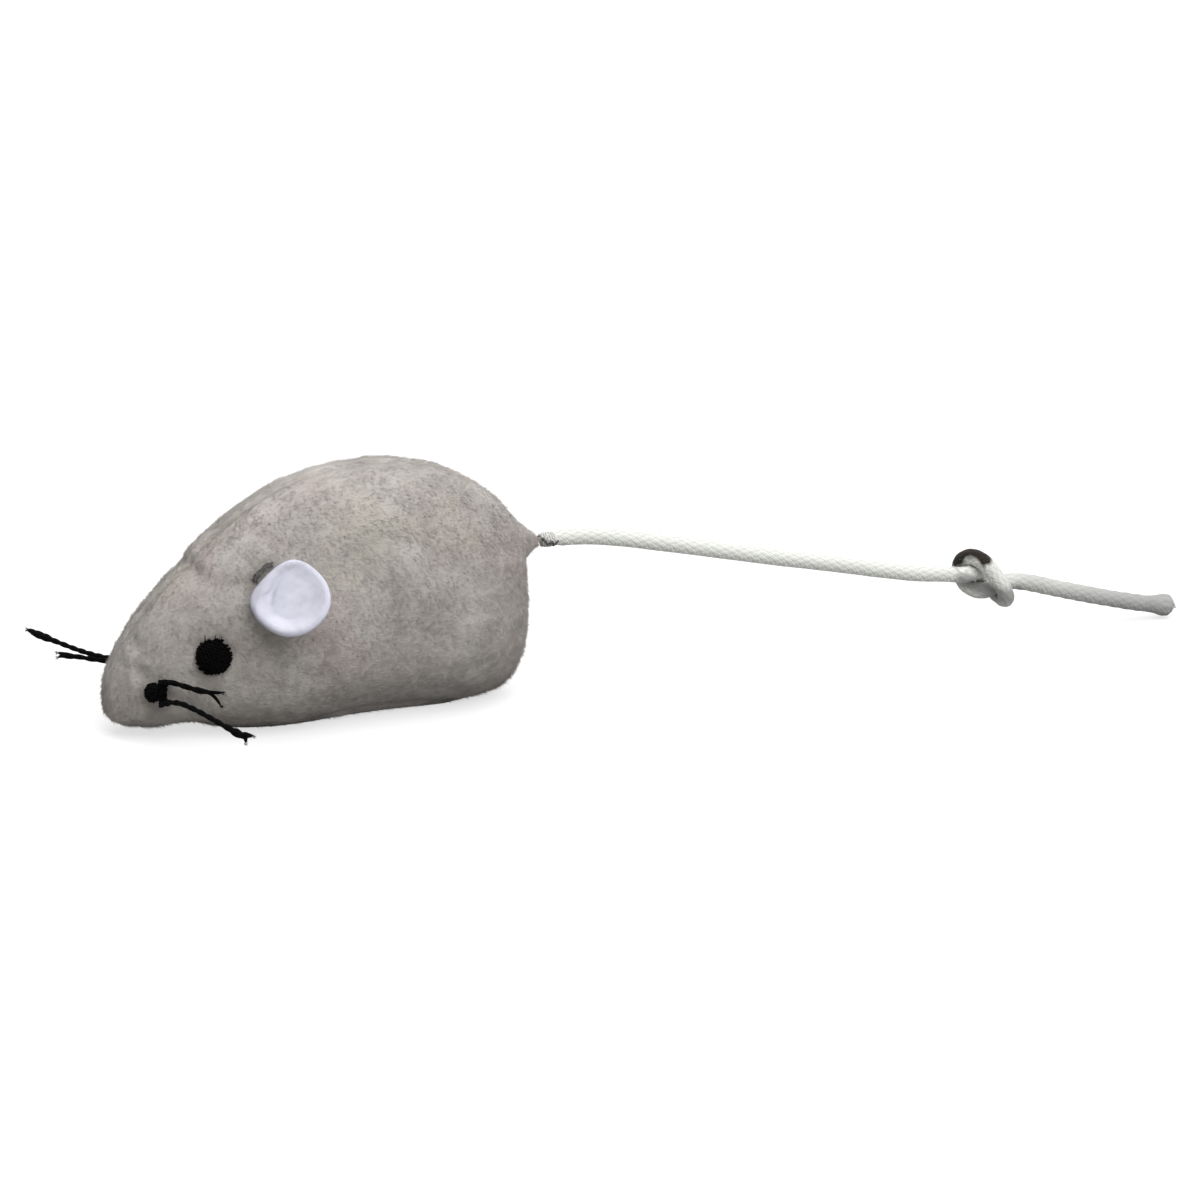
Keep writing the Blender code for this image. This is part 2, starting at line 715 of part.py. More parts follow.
def build_whiskers(surface):
    """Four strands, each an object with its origin on the upright line that it turns about."""
    for name, (length_share, up_share, bow_share) in WHISKER_SHARES.items():
        side = -1 if "left" in name else 1
        pivot = knot_middle(surface, side)
        length = length_share * WHISKER_LENGTH
        sweep = WHISKER_SWEEPS[name]
        way = Vector((math.sin(sweep), side * math.cos(sweep), 0.0))
        start = WHISKER_KNOT_WIDTH / 2  # the knot is narrower at the strand's height
        points = []
        for number in range(WHISKER_POINTS):
            share = number / (WHISKER_POINTS - 1)
            bow = bow_share * length * math.sin(math.pi * share)
            rise = up_share * WHISKER_KNOT_HEIGHT + bow
            points.append(way * (start + share * length) + Vector((0.0, 0.0, rise)))
        strand = tube(name, points, WHISKER_DIAMETER, TOY, THREAD_BLACK)
        strand.location = pivot
    left, right = [on_side(surface, WHISKER_PLACE_SHARES, side)[0] for side in (-1, 1)]
    thread = rod_mesh(left, right, INNER_THREAD_DIAMETER)
    add_part("whisker_inner_thread", thread, THREAD_BLACK)


for old in list(bpy.data.objects):
    bpy.data.objects.remove(old)
TOY = new_collection("plush_mouse")
CUTTERS = new_collection("cutters")

PLUSH_GREY = make_material("grey_plush", (0.34, 0.31, 0.29), 0.95)
FIBRE_WHITE = make_material("fibre", (0.85, 0.85, 0.82), 0.9)
FELT_WHITE = make_material("white_felt", (0.72, 0.71, 0.80), 0.9)
THREAD_BLACK = make_material("black_thread", (0.015, 0.014, 0.014), 0.6)
THREAD_GREY = make_material("grey_thread", (0.25, 0.23, 0.22), 0.7)
CORD_WHITE = make_material("white_cord", (0.76, 0.77, 0.72), 0.7)


def main():
    cage = form_cage()
    surface = surface_of(sized_form(cage, FORM_LEVELS))
    rump = build_body(cage, surface)
    pivot = build_tail_root(rump)
    build_tail(pivot)
    for word, side in (("left", -1), ("right", 1)):
        build_ear(word, side, surface)
        build_face(word, side, surface)
    build_whiskers(surface)


main()
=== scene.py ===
# Plush mouse cat toy: its looks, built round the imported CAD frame. Lengths are in metres.
import json
import math

import bmesh
import bpy
import numpy as np
from mathutils import Matrix, Vector
from mathutils.bvhtree import BVHTree


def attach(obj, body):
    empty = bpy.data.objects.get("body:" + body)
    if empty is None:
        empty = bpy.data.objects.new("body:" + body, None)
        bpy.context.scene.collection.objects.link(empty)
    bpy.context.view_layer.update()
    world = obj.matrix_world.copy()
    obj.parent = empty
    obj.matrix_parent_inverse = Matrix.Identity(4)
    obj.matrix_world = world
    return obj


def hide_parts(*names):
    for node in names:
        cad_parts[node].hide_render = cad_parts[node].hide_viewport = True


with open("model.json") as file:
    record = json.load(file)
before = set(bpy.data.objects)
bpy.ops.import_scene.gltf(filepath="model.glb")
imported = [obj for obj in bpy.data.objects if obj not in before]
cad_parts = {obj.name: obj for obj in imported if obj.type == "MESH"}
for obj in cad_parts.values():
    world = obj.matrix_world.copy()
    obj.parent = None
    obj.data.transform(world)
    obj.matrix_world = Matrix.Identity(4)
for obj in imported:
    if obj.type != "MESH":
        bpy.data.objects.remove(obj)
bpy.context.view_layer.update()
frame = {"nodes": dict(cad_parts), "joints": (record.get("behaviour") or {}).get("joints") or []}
scene = bpy.context.scene
luck = np.random.default_rng(12)  # every random draw comes from here
few = 1.0  # the share of the fibres that is made
print("frame loaded:", len(frame["nodes"]), "nodes")

# The camera, at the photo's viewing angle
camera = {"azimuth": -23.0, "elevation": 15.5, "distance": 0.5, "target": (0.03608, 0.0, 0.00937),
          "lens": 125.0, "nearest": 0.01, "furthest": 50.0,
          "photoSide": 1200, "photoWidth": 0.144}  # the photo's pixels, and the view's width at the target


def cameraAxes():
    az, el = math.radians(camera["azimuth"]), math.radians(camera["elevation"])
    back = Vector((math.sin(az) * math.cos(el), -math.cos(az) * math.cos(el), math.sin(el)))
    right = Vector((math.cos(az), math.sin(az), 0.0))
    return right, back.cross(right), back


def addCamera():
    right, up, back = cameraAxes()
    data = bpy.data.cameras.new("photoCamera")
    data.lens, data.clip_start, data.clip_end = camera["lens"], camera["nearest"], camera["furthest"]
    obj = bpy.data.objects.new("photoCamera", data)
    scene.collection.objects.link(obj)
    turn = Matrix((right, up, back)).transposed().to_4x4()
    obj.matrix_world = Matrix.Translation(Vector(camera["target"]) + back * camera["distance"]) @ turn
    scene.camera = obj


addCamera()
print("camera set")


# Nodes and node groups of the materials
def addNode(tree, kind, settings=None, values=None):
    node = tree.nodes.new(kind)
    for key, value in (settings or {}).items():
        setattr(node, key, value)
    for key, value in (values or {}).items():
        if isinstance(value, bpy.types.NodeSocket):
            tree.links.new(value, node.inputs[key])
        else:
            node.inputs[key].default_value = value
    return node


def newGroup(name, inputs, outputs):
    group = bpy.data.node_groups.new(name, "ShaderNodeTree")
    for label, kind, value in inputs:
        socket = group.interface.new_socket(name=label, in_out="INPUT", socket_type="NodeSocket" + kind)
        socket.default_value = value
    for label, kind in outputs:
        group.interface.new_socket(name=label, in_out="OUTPUT", socket_type="NodeSocket" + kind)
    return group, group.nodes.new("NodeGroupInput"), group.nodes.new("NodeGroupOutput")


def objectPlace(tree):
    return addNode(tree, "ShaderNodeTexCoord").outputs["Object"]


def storedShare(tree, name):
    return addNode(tree, "ShaderNodeAttribute", {"attribute_name": name}).outputs["Fac"]


def math2(tree, operation, first, second, clamp=False):
    node = addNode(tree, "ShaderNodeMath", {"operation": operation, "use_clamp": clamp}, {0: first, 1: second})
    return node.outputs[0]


def weighted(tree, first, share, second):
    rest = math2(tree, "MULTIPLY", second, 1 - share)
    return math2(tree, "ADD", math2(tree, "MULTIPLY", first, share), rest)


def mixColour(tree, factor, first, second, blend="MIX"):
    settings = {"data_type": "RGBA", "blend_type": blend}
    return addNode(tree, "ShaderNodeMix", settings, {0: factor, 6: first, 7: second}).outputs[2]


def greyOf(tree, value):
    return addNode(tree, "ShaderNodeCombineColor", None, {0: value, 1: value, 2: value}).outputs[0]


def shaded(tree, colour, shade):
    return mixColour(tree, 1.0, colour, greyOf(tree, shade), "MULTIPLY")


def ranged(tree, value, low, high, toLow=0.0, toHigh=1.0):
    values = {"Value": value, "From Min": low, "From Max": high, "To Min": toLow, "To Max": toHigh}
    return addNode(tree, "ShaderNodeMapRange", None, values).outputs[0]


def noise(tree, place, scale, detail=3.0, roughness=0.55):
    values = {"Vector": place, "Scale": scale, "Detail": detail, "Roughness": roughness}
    return addNode(tree, "ShaderNodeTexNoise", None, values).outputs[0]


def moved(tree, place, offset=(0, 0, 0), scale=(1, 1, 1), turn=(0, 0, 0)):
    values = {"Vector": place, "Location": offset, "Rotation": turn, "Scale": scale}
    return addNode(tree, "ShaderNodeMapping", None, values).outputs[0]


def buildSoftMottle():
    # Uneven dye and brushed fibres: a colour in patches with fine flecks, and their height
    group, given, made = newGroup(
        "softMottle",
        [("Dark", "Color", (0.2, 0.2, 0.2, 1)), ("Light", "Color", (0.5, 0.5, 0.5, 1)),
         ("Tint", "Color", (0.5, 0.4, 0.4, 1)), ("Patch Scale", "Float", 100.0),
         ("Fleck Scale", "Float", 1500.0), ("Fleck Strength", "Float", 0.3), ("Tint Strength", "Float", 0.5)],
        [("Color", "Color"), ("Height", "Float")])
    place = objectPlace(group)
    patch = ranged(group, noise(group, place, given.outputs["Patch Scale"]), 0.34, 0.66)
    colour = mixColour(group, patch, given.outputs["Dark"], given.outputs["Light"])
    other = noise(group, moved(group, place, offset=(0.3, 0.1, 0.7)), given.outputs["Patch Scale"], 2.0)
    tint = math2(group, "MULTIPLY", ranged(group, other, 0.48, 0.70), given.outputs["Tint Strength"])
    colour = mixColour(group, tint, colour, given.outputs["Tint"])
    brushed = moved(group, place, turn=(0, math.radians(30), 0), scale=(0.35, 1, 1))
    fine = noise(group, brushed, given.outputs["Fleck Scale"], 4.0, 0.65)
    coarse = noise(group, brushed, math2(group, "MULTIPLY", given.outputs["Fleck Scale"], 0.22), 2.0)
    fleck = weighted(group, fine, 0.6, coarse)
    lift = math2(group, "MULTIPLY", math2(group, "SUBTRACT", fleck, 0.5), given.outputs["Fleck Strength"])
    shade = math2(group, "ADD", math2(group, "MULTIPLY", lift, 4.0), 1.0)
    group.links.new(shaded(group, colour, shade), made.inputs["Color"])
    group.links.new(fleck, made.inputs["Height"])
    return group


def buildThreadLay():
    # Fine fibres lying side by side in a thread: a mask of light and dark lines, and their height
    group, given, made = newGroup(
        "threadLay", [("Line Scale", "Float", 900.0), ("Tangle", "Float", 2.0)],
        [("Mask", "Float"), ("Height", "Float")])
    place = objectPlace(group)
    wave = addNode(group, "ShaderNodeTexWave", {"wave_type": "BANDS", "bands_direction": "DIAGONAL"},
                   {"Vector": place, "Scale": given.outputs["Line Scale"], "Distortion": given.outputs["Tangle"],
                    "Detail": 2.0, "Detail Scale": 1.5}).outputs[1]
    grain = noise(group, place, math2(group, "MULTIPLY", given.outputs["Line Scale"], 3.0), 3.0, 0.6)
    lines = weighted(group, wave, 0.55, grain)
    for output in ("Mask", "Height"):
        group.links.new(lines, made.inputs[output])
    return group


softMottle = buildSoftMottle()
threadLay = buildThreadLay()


def newMaterial(name, colour, finish):
    # The Principled shader with its constant sockets set. Nodes are added to its tree afterwards.
    material = bpy.data.materials.new(name)
    material.use_nodes = True
    material.diffuse_color = (*colour, 1.0)
    shader = material.node_tree.nodes["Principled BSDF"]
    for key, value in finish.items():
        shader.inputs[key].default_value = value
    return material, material.node_tree, shader


def useGroup(tree, group, values):
    node = tree.nodes.new("ShaderNodeGroup")
    node.node_tree = group
    for key, value in values.items():
        node.inputs[key].default_value = (*value, 1.0) if isinstance(value, tuple) else value
    return node


def finished(tree, shader, colour, height, facts):
    # The colour and the bump go into the shader
    values = {"Height": height, "Strength": facts["bumpStrength"], "Distance": facts["bumpDistance"]}
    tree.links.new(colour, shader.inputs["Base Color"])
    tree.links.new(addNode(tree, "ShaderNodeBump", None, values).outputs[0], shader.inputs["Normal"])


# Plush, felt and filling
plushFinish = {
    "mottle": {"Dark": (0.335, 0.310, 0.290), "Light": (0.470, 0.443, 0.415), "Tint": (0.455, 0.385, 0.362),
               "Patch Scale": 120.0, "Fleck Scale": 2400.0, "Fleck Strength": 0.13, "Tint Strength": 0.50},
    "warmTint": (0.455, 0.430, 0.355), "warmScale": 150.0, "warmStrength": 0.38,
    # Painted shade: the plush is coloured darker near the floor, and higher up towards the rump, where less light
    # falls
    "paintedLowShade": 0.80, "lowFrom": -0.0025, "lowTo": 0.0085, "lowRise": 0.16,
    "finish": {"Roughness": 0.95, "Specular IOR Level": 0.15, "Sheen Weight": 0.12, "Sheen Roughness": 0.6},
    "rootShade": 0.90, "tipShade": 1.06, "bumpStrength": 0.5, "bumpDistance": 0.0003,
}


def plushMaterial(name, pile):
    facts = plushFinish
    material, tree, shader = newMaterial(name, facts["mottle"]["Light"], facts["finish"])
    mottle = useGroup(tree, softMottle, facts["mottle"])
    place = objectPlace(tree)
    warm = noise(tree, moved(tree, place, offset=(0.7, 0.2, 0.4)), facts["warmScale"], 2.0)
    warm = ranged(tree, warm, 0.50, 0.72, 0.0, facts["warmStrength"])
    colour = mixColour(tree, warm, mottle.outputs["Color"], (*facts["warmTint"], 1.0))
    # Painted shade: the colour darkens low down, reaching higher towards the rump
    parts = addNode(tree, "ShaderNodeSeparateXYZ", None, {0: place}).outputs
    height = math2(tree, "SUBTRACT", parts[2], math2(tree, "MULTIPLY", parts[0], facts["lowRise"]))
    colour = shaded(tree, colour, ranged(tree, height, facts["lowFrom"], facts["lowTo"], facts["paintedLowShade"], 1.0))
    if pile:
        # A fibre is darker at its root, where its neighbours shade it, than at its tip
        tip = ranged(tree, storedShare(tree, "tipShare"), 0.0, 1.0, facts["rootShade"], facts["tipShade"])
        tree.links.new(shaded(tree, colour, tip), shader.inputs["Base Color"])
    else:
        finished(tree, shader, colour, mottle.outputs["Height"], facts)
    return material


feltFinish = {
    "mottle": {"Dark": (0.525, 0.525, 0.600), "Light": (0.600, 0.600, 0.685), "Tint": (0.545, 0.555, 0.645),
               "Patch Scale": 420.0, "Fleck Scale": 5200.0, "Fleck Strength": 0.05, "Tint Strength": 0.4},
    "finish": {"Roughness": 0.92, "Specular IOR Level": 0.2, "Sheen Weight": 0.1, "Sheen Roughness": 0.5},
    "bumpStrength": 0.35, "bumpDistance": 0.00012,
}
fillingFinish = {
    "mottle": {"Dark": (0.74, 0.74, 0.71), "Light": (0.86, 0.86, 0.83), "Tint": (0.80, 0.79, 0.75),
               "Patch Scale": 260.0, "Fleck Scale": 3200.0, "Fleck Strength": 0.12, "Tint Strength": 0.3},
    "finish": {"Roughness": 0.9, "Specular IOR Level": 0.2}, "bumpStrength": 0.5, "bumpDistance": 0.0003,
}


def softMaterial(name, facts):
    material, tree, shader = newMaterial(name, facts["mottle"]["Light"], facts["finish"])
    mottle = useGroup(tree, softMottle, facts["mottle"])
    finished(tree, shader, mottle.outputs["Color"], mottle.outputs["Height"], facts)
    return material


# Thread and cord
threadFinish = {
    "black": {"dark": (0.0008, 0.0008, 0.001), "light": (0.0045, 0.0042, 0.0045),
              "finish": {"Roughness": 0.95, "Specular IOR Level": 0.04}},
    "grey": {"dark": (0.055, 0.052, 0.050), "light": (0.13, 0.125, 0.12),
             "finish": {"Roughness": 0.8, "Specular IOR Level": 0.25, "Sheen Weight": 0.1}},
    "pale": {"dark": (0.42, 0.41, 0.39), "light": (0.72, 0.71, 0.68),
             "finish": {"Roughness": 0.8, "Specular IOR Level": 0.25, "Sheen Weight": 0.1}},
    "lay": {"Line Scale": 1400.0, "Tangle": 3.0}, "bumpStrength": 0.4, "bumpDistance": 0.00006,
}


def threadMaterial(name, key):
    facts = threadFinish[key]
    material, tree, shader = newMaterial(name, facts["light"], facts["finish"])
    lay = useGroup(tree, threadLay, threadFinish["lay"])
    factor = ranged(tree, lay.outputs["Mask"], 0.3, 0.7)
    colour = mixColour(tree, factor, (*facts["dark"], 1.0), (*facts["light"], 1.0))
    finished(tree, shader, colour, lay.outputs["Height"], threadFinish)
    return material


cordFinish = {
    # crease is a painted shade colour for the braid's crevices
    "cordWhite": (0.73, 0.74, 0.70), "used": (0.50, 0.50, 0.485), "crease": (0.24, 0.235, 0.215),
    "usedFrom": 0.0860, "usedTo": 0.0925,  # X where the darker grey past the knot starts and is full
    "end": (0.345, 0.345, 0.342), "endFrom": 0.0960, "endTo": 0.1070,  # and where its darker tip does
    # Painted shadow inside the knot's upper-left loop, and painted shade under its lower loop
    "loopShadow": (0.014, 0.010, 0.007), "loopShadowFull": 1.25, "grey": (0.24, 0.24, 0.235), "greyFull": 0.78,
    "creaseShadeFull": 0.5, "blotchScale": 300.0, "patchScale": 700.0, "lay": {"Line Scale": 1500.0, "Tangle": 2.5},
    "bumpStrength": 0.35, "bumpDistance": 0.00008,
    "finish": {"Roughness": 0.85, "Specular IOR Level": 0.2, "Sheen Weight": 0.1},
}


def cordMaterial(name):
    facts = cordFinish
    material, tree, shader = newMaterial(name, facts["cordWhite"], facts["finish"])
    place = objectPlace(tree)
    lay = useGroup(tree, threadLay, facts["lay"])
    x = addNode(tree, "ShaderNodeSeparateXYZ", None, {0: place}).outputs[0]
    blotch = ranged(tree, noise(tree, place, facts["blotchScale"]), 0.3, 0.7, 0.75, 1.0)
    colour = (*facts["cordWhite"], 1.0)
    # The cord's colour turns greyer past the knot and darker again at its tip
    for part in ("used", "end"):
        greyedShare = math2(tree, "MULTIPLY", ranged(tree, x, facts[f"{part}From"], facts[f"{part}To"]), blotch, True)
        colour = mixColour(tree, greyedShare, colour, (*facts[part], 1.0))
    colour = shaded(tree, colour, ranged(tree, lay.outputs["Mask"], 0.25, 0.75, 0.86, 1.04))
    # Painted shade: the braid's crevices between strands are coloured darker
    crease = math2(tree, "MULTIPLY", storedShare(tree, "creaseShadeShare"), facts["creaseShadeFull"])
    colour = mixColour(tree, crease, colour, (*facts["crease"], 1.0))
    # Painted shadow inside the knot's upper-left loop, and painted shade under its lower loop
    for part in ("grey", "loopShadow"):
        full = facts[f"{part}Full"]
        patchy = ranged(tree, noise(tree, place, facts["patchScale"]), 0.25, 0.6, 0.85 * full, full)
        share = math2(tree, "MULTIPLY", storedShare(tree, f"{part}Share"), patchy, True)
        colour = mixColour(tree, share, colour, (*facts[part], 1.0))
    finished(tree, shader, colour, lay.outputs["Height"], facts)
    return material


plushSkin = plushMaterial("plushSkin", False)
plushPile = plushMaterial("plushPile", True)
earFelt = softMaterial("earFelt", feltFinish)
fillingFibre = softMaterial("fillingFibre", fillingFinish)
blackThread = threadMaterial("blackThread", "black")
greyThread = threadMaterial("greyThread", "grey")
paleThread = threadMaterial("paleThread", "pale")
braidedCord = cordMaterial("braidedCord")
print("materials made")


# Meshes, routes and threads
def unit(rows):
    return rows / np.maximum(np.linalg.norm(rows, axis=-1, keepdims=True), 1e-12)


def joinShapes(shapes):
    verts, faces, start = [], [], 0
    for points, corners in shapes:
        verts.append(points)
        faces.extend([tuple(int(c) + start for c in face) for face in corners])
        start += len(points)
    return np.concatenate(verts), faces


def faceOutwards(mesh):
    bm = bmesh.new()
    bm.from_mesh(mesh)
    bmesh.ops.recalc_face_normals(bm, faces=bm.faces)
    bm.to_mesh(mesh)
    bm.free()


def addPiece(name, shape, material, body, nodes=(), outwards=False):
    if isinstance(shape, bpy.types.Mesh):
        mesh = shape
        mesh.name = name
    else:
        mesh = bpy.data.meshes.new(name)
        verts, faces = shape
        mesh.from_pydata(np.asarray(verts, float).tolist(), [], [tuple(face) for face in faces])
    mesh.materials.clear()
    mesh.materials.append(material)
    mesh.validate()
    if outwards:
        faceOutwards(mesh)
    mesh.shade_smooth()
    piece = bpy.data.objects.new(name, mesh)
    scene.collection.objects.link(piece)
    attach(piece, body)
    if nodes:
        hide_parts(*nodes)
    return piece


def smoothRoute(points, spacing):
    # Points on a smooth curve through the given ones, about as far apart as spacing
    points = [Vector(point) for point in points]
    spans = [(b - a).length for a, b in zip(points, points[1:])]
    slopes = []
    for number in range(len(points)):
        before, after = max(number - 1, 0), min(number, len(spans) - 1)
        first = (points[before + 1] - points[before]) / spans[before]
        second = (points[after + 1] - points[after]) / spans[after]
        weight = spans[after] / (spans[before] + spans[after])
        slopes.append(first * weight + second * (1 - weight))
    route = []
    for number, span in enumerate(spans):
        steps = max(1, round(span / spacing))
        for step in range(steps):
            t = step / steps
            lead = points[number] * (2 * t**3 - 3 * t**2 + 1) + points[number + 1] * (3 * t**2 - 2 * t**3)
            bend = slopes[number] * (t**3 - 2 * t**2 + t) + slopes[number + 1] * (t**3 - t**2)
            route.append(lead + bend * span)
    return np.array(route + [points[-1]])


def runOf(points):
    steps = np.linalg.norm(np.diff(points, axis=0), axis=1)
    return np.concatenate([[0.0], np.cumsum(steps)])


def squareDirections(points):
    # Two directions square to the route at each point, which turn no more than the route does
    way = unit(np.gradient(points, axis=0))
    start = np.array((0.0, 0.0, 1.0)) if abs(way[0][2]) < 0.9 else np.array((1.0, 0.0, 0.0))
    side = np.zeros_like(way)
    side[0] = unit(np.cross(start, way[0]))
    for number in range(1, len(way)):
        flat = side[number - 1] - way[number] * np.dot(side[number - 1], way[number])
        side[number] = unit(flat)
    return side, np.cross(way, side)


def ringFaces(rings, sides):
    # The faces between rings of points that follow each other
    return [(ring * sides + n, ring * sides + (n + 1) % sides, (ring + 1) * sides + (n + 1) % sides,
             (ring + 1) * sides + n) for ring in range(rings - 1) for n in range(sides)]


def turnedShape(profile, sides):
    # A closed shape turned round Z from the radius and height of each of its rings
    points = [(radius * math.cos(t), radius * math.sin(t), z) for radius, z in profile
              for t in np.linspace(0, 2 * math.pi, sides, endpoint=False)]
    last = (len(profile) - 1) * sides
    ends = [tuple(reversed(range(sides))), tuple(range(last, last + sides))]
    return points, ringFaces(len(profile), sides) + ends


def sweptTube(points, radius, sides):
    # A closed tube. radius is one number, one for each point, or one for each point and side
    points = np.asarray(points, float)
    side, up = squareDirections(points)
    angle = np.arange(sides) * 2 * math.pi / sides
    radius = np.broadcast_to(np.asarray(radius, float).reshape(-1, 1) if np.ndim(radius) < 2 else radius,
                             (len(points), sides))
    ring = side[:, None] * np.cos(angle)[None, :, None] + up[:, None] * np.sin(angle)[None, :, None]
    verts = (points[:, None] + ring * radius[:, :, None]).reshape(-1, 3)
    verts = np.concatenate([verts, points[:1], points[-1:]])
    faces, count = ringFaces(len(points), sides), len(points) * sides
    for n in range(sides):
        after = (n + 1) % sides
        faces += [(after, n, count), (count - sides + n, count - sides + after, count + 1)]
    return verts, faces


def roundedEnds(run, radius, reach):
    # The radius along a tube, drawn in to a round end over reach at both ends
    edge = np.clip(np.minimum(run, run[-1] - run) / reach, 0.0, 1.0)
    return radius * np.sqrt(np.clip(1 - (1 - edge) ** 2, 0.02, 1.0))


plied = {"twisted": 0.8, "offset": 0.25, "radius": 0.29, "round": 0.4}  # shares of the length and the diameter


def plyThread(points, diameter, pitch=0.0016, plies=2, sides=7):
    # Plies twisted round each other along a route, with the last stretch lying straight
    run = runOf(points)
    side, up = squareDirections(points)
    twist = 2 * math.pi * np.minimum(run, run[-1] * plied["twisted"]) / pitch
    radius = roundedEnds(run, plied["radius"] * diameter, plied["round"] * diameter)
    shapes = []
    for ply in range(plies):
        angle = (twist + 2 * math.pi * ply / plies)[:, None]
        line = points + (side * np.cos(angle) + up * np.sin(angle)) * plied["offset"] * diameter
        shapes.append(sweptTube(line, radius, sides))
    return shapes


def spikes(roots, ways, width):
    # Thin closed three-sided fibres from their roots to their tips
    roots, ways = np.asarray(roots, float), np.asarray(ways, float)
    rest = np.where(np.abs(unit(ways)[:, 2:3]) < 0.9, (0.0, 0.0, 1.0), (1.0, 0.0, 0.0))
    across = unit(np.cross(ways, rest))
    other = unit(np.cross(ways, across))
    width = np.broadcast_to(width, (len(roots),))[:, None] / 2
    corners = [roots + (across * math.cos(a) + other * math.sin(a)) * width
               for a in (0.0, 2 * math.pi / 3, 4 * math.pi / 3)]
    verts = np.stack([*corners, roots + ways], axis=1).reshape(-1, 3)
    base = np.arange(len(roots))[:, None] * 4
    faces = np.concatenate([base + np.array(three) for three in ((0, 1, 3), (1, 2, 3), (2, 0, 3), (0, 2, 1))])
    return verts, faces.tolist()


def waves(points, size, seed):
    # Smooth made-up noise from -1 to 1: a sum of sines in fixed directions, of about this wavelength
    draw = np.random.default_rng(seed)
    total = np.zeros(len(points))
    for _ in range(9):
        way = unit(draw.normal(size=3)) * 2 * math.pi / (size * draw.uniform(0.7, 1.5))
        total += np.sin(points @ way + draw.uniform(0, 2 * math.pi))
    return total / 4.5


def rowsOf(items, name):
    values = np.empty(len(items) * 3)
    items.foreach_get(name, values)
    return values.reshape(-1, 3)


def pointsOf(mesh):
    return rowsOf(mesh.vertices, "co")


def normalsOf(mesh):
    return rowsOf(mesh.vertex_normals, "vector")


def setPoints(mesh, points):
    mesh.vertices.foreach_set("co", np.asarray(points, float).ravel())
    mesh.update()


def pixelsOf(points):
    # Where the photo shows these points
    right, up, back = (np.array(axis) for axis in cameraAxes())
    away = points - np.array(camera["target"])
    reach = camera["distance"] * camera["photoSide"] / camera["photoWidth"] / (camera["distance"] - away @ back)
    middle = camera["photoSide"] / 2
    return np.stack([middle + reach * (away @ right), middle - reach * (away @ up)], axis=1)


def spanDistance(points, first, second):
    way = second - first
    share = np.clip((points - first) @ way / max(way @ way, 1e-12), 0.0, 1.0)
    return np.linalg.norm(points - first - share[:, None] * way, axis=1)


def lineDistance(points, line):
    return np.min([spanDistance(points, *span) for span in zip(line, line[1:])], axis=0)


def addShare(piece, name, values):
    attribute = piece.data.attributes.new(name, "FLOAT", "POINT")
    attribute.data.foreach_set("value", np.asarray(values, np.float32))


# The tail: a braided cord with an overhand knot and a frayed cut end
pivot = Vector(next(j["pos_m"] for j in frame["joints"] if j["name"] == "tail_swing"))
tail = {
    "diameter": 0.0019, "whippingDiameter": 0.0022, "gap": 0.0003,
    "lead": ((0.0045, 0.0000, 0.01750), (0.0090, -0.0001, 0.01685), (0.0140, -0.0003, 0.01585),
             (0.0190, -0.0005, 0.01480), (0.0240, -0.0007, 0.01370), (0.0290, -0.0010, 0.01265),
             (0.0340, -0.0013, 0.01165), (0.0390, -0.0016, 0.01065), (0.0440, -0.0019, 0.00960),
             (0.0485, -0.0022, 0.00880)),  # behind the pivot, sideways, over the floor
    "knotPlace": (0.0577, -0.0028, 0.00740),
    "end": ((0.0669, -0.0033, 0.00530), (0.0708, -0.0037, 0.00425), (0.0751, -0.0040, 0.00315),
            (0.0793, -0.0043, 0.00220), (0.0833, -0.0045, 0.00155)),
    "knotHalf": ((0.00, 0.55, 0.00), (-0.65, 0.45, -0.75), (-1.20, -0.15, -1.20), (-1.45, -0.95, -1.10),
                 (-1.20, -1.60, -0.45), (-0.55, -1.70, 0.30), (0.15, -1.20, 0.60), (0.85, -0.62, 0.32),
                 (1.70, -0.46, 0.04), (2.60, -0.45, 0.00)),
    "knotPitchShare": 0.80, "knotClearance": 0.00045, "knotTurn": 150.0,
    "knotShare": 1.04, "leadShare": 1.0, "endShare": 1.08, "frayShare": 1.46, "frayReach": 0.0030,
    "braidAround": 8, "cellLength": 0.00084, "braidDepth": 0.075,  # depth as a share of the radius
    "spacing": 0.00016, "sides": 48, "wobble": 0.02, "strands": 240, "flyaways": 1500, "knotReach": 0.0052,
    # Where the knot's painted shadow (upper-left loop) and painted shade (under the lower loop) lie, with their
    # reach
    "loopShadowPixels": ((957, 560), (959, 555), (963, 552), (970, 550), (979, 552), (985, 558)), "loopShadowReach": 8.0,
    "greyPixels": ((963, 579), (975, 585), (990, 592), (1005, 597), (1019, 592)), "greyReach": 8.0,
}


def tailControlPoints():
    floor = Vector((pivot.x, 0.0, 0.0))
    start = pivot + Vector((tail["whippingDiameter"] / 2 + tail["gap"], 0.0, 0.0))
    lead = [start] + [floor + Vector(place) for place in tail["lead"]]
    end = [floor + Vector(place) for place in tail["end"]]
    axis = (end[0] - lead[-1]).normalized()
    up = (Vector((0.0, 0.0, 1.0)) - axis * axis.z).normalized()
    side = up.cross(axis)
    pitch = tail["diameter"] * tail["knotPitchShare"] + tail["knotClearance"]
    half = [Vector(share) for share in tail["knotHalf"]]
    other = [Vector((-p.x, p.y, -p.z)) for p in reversed(half[1:])]
    turn = Matrix.Rotation(math.radians(tail["knotTurn"]), 3, "X")
    knot = []
    for share in other + half:
        local = turn @ Vector((share.x, share.y - half[-1].y, share.z)) * pitch
        knot.append(floor + Vector(tail["knotPlace"]) + axis * local.x + side * local.y + up * local.z)
    return lead, knot, end


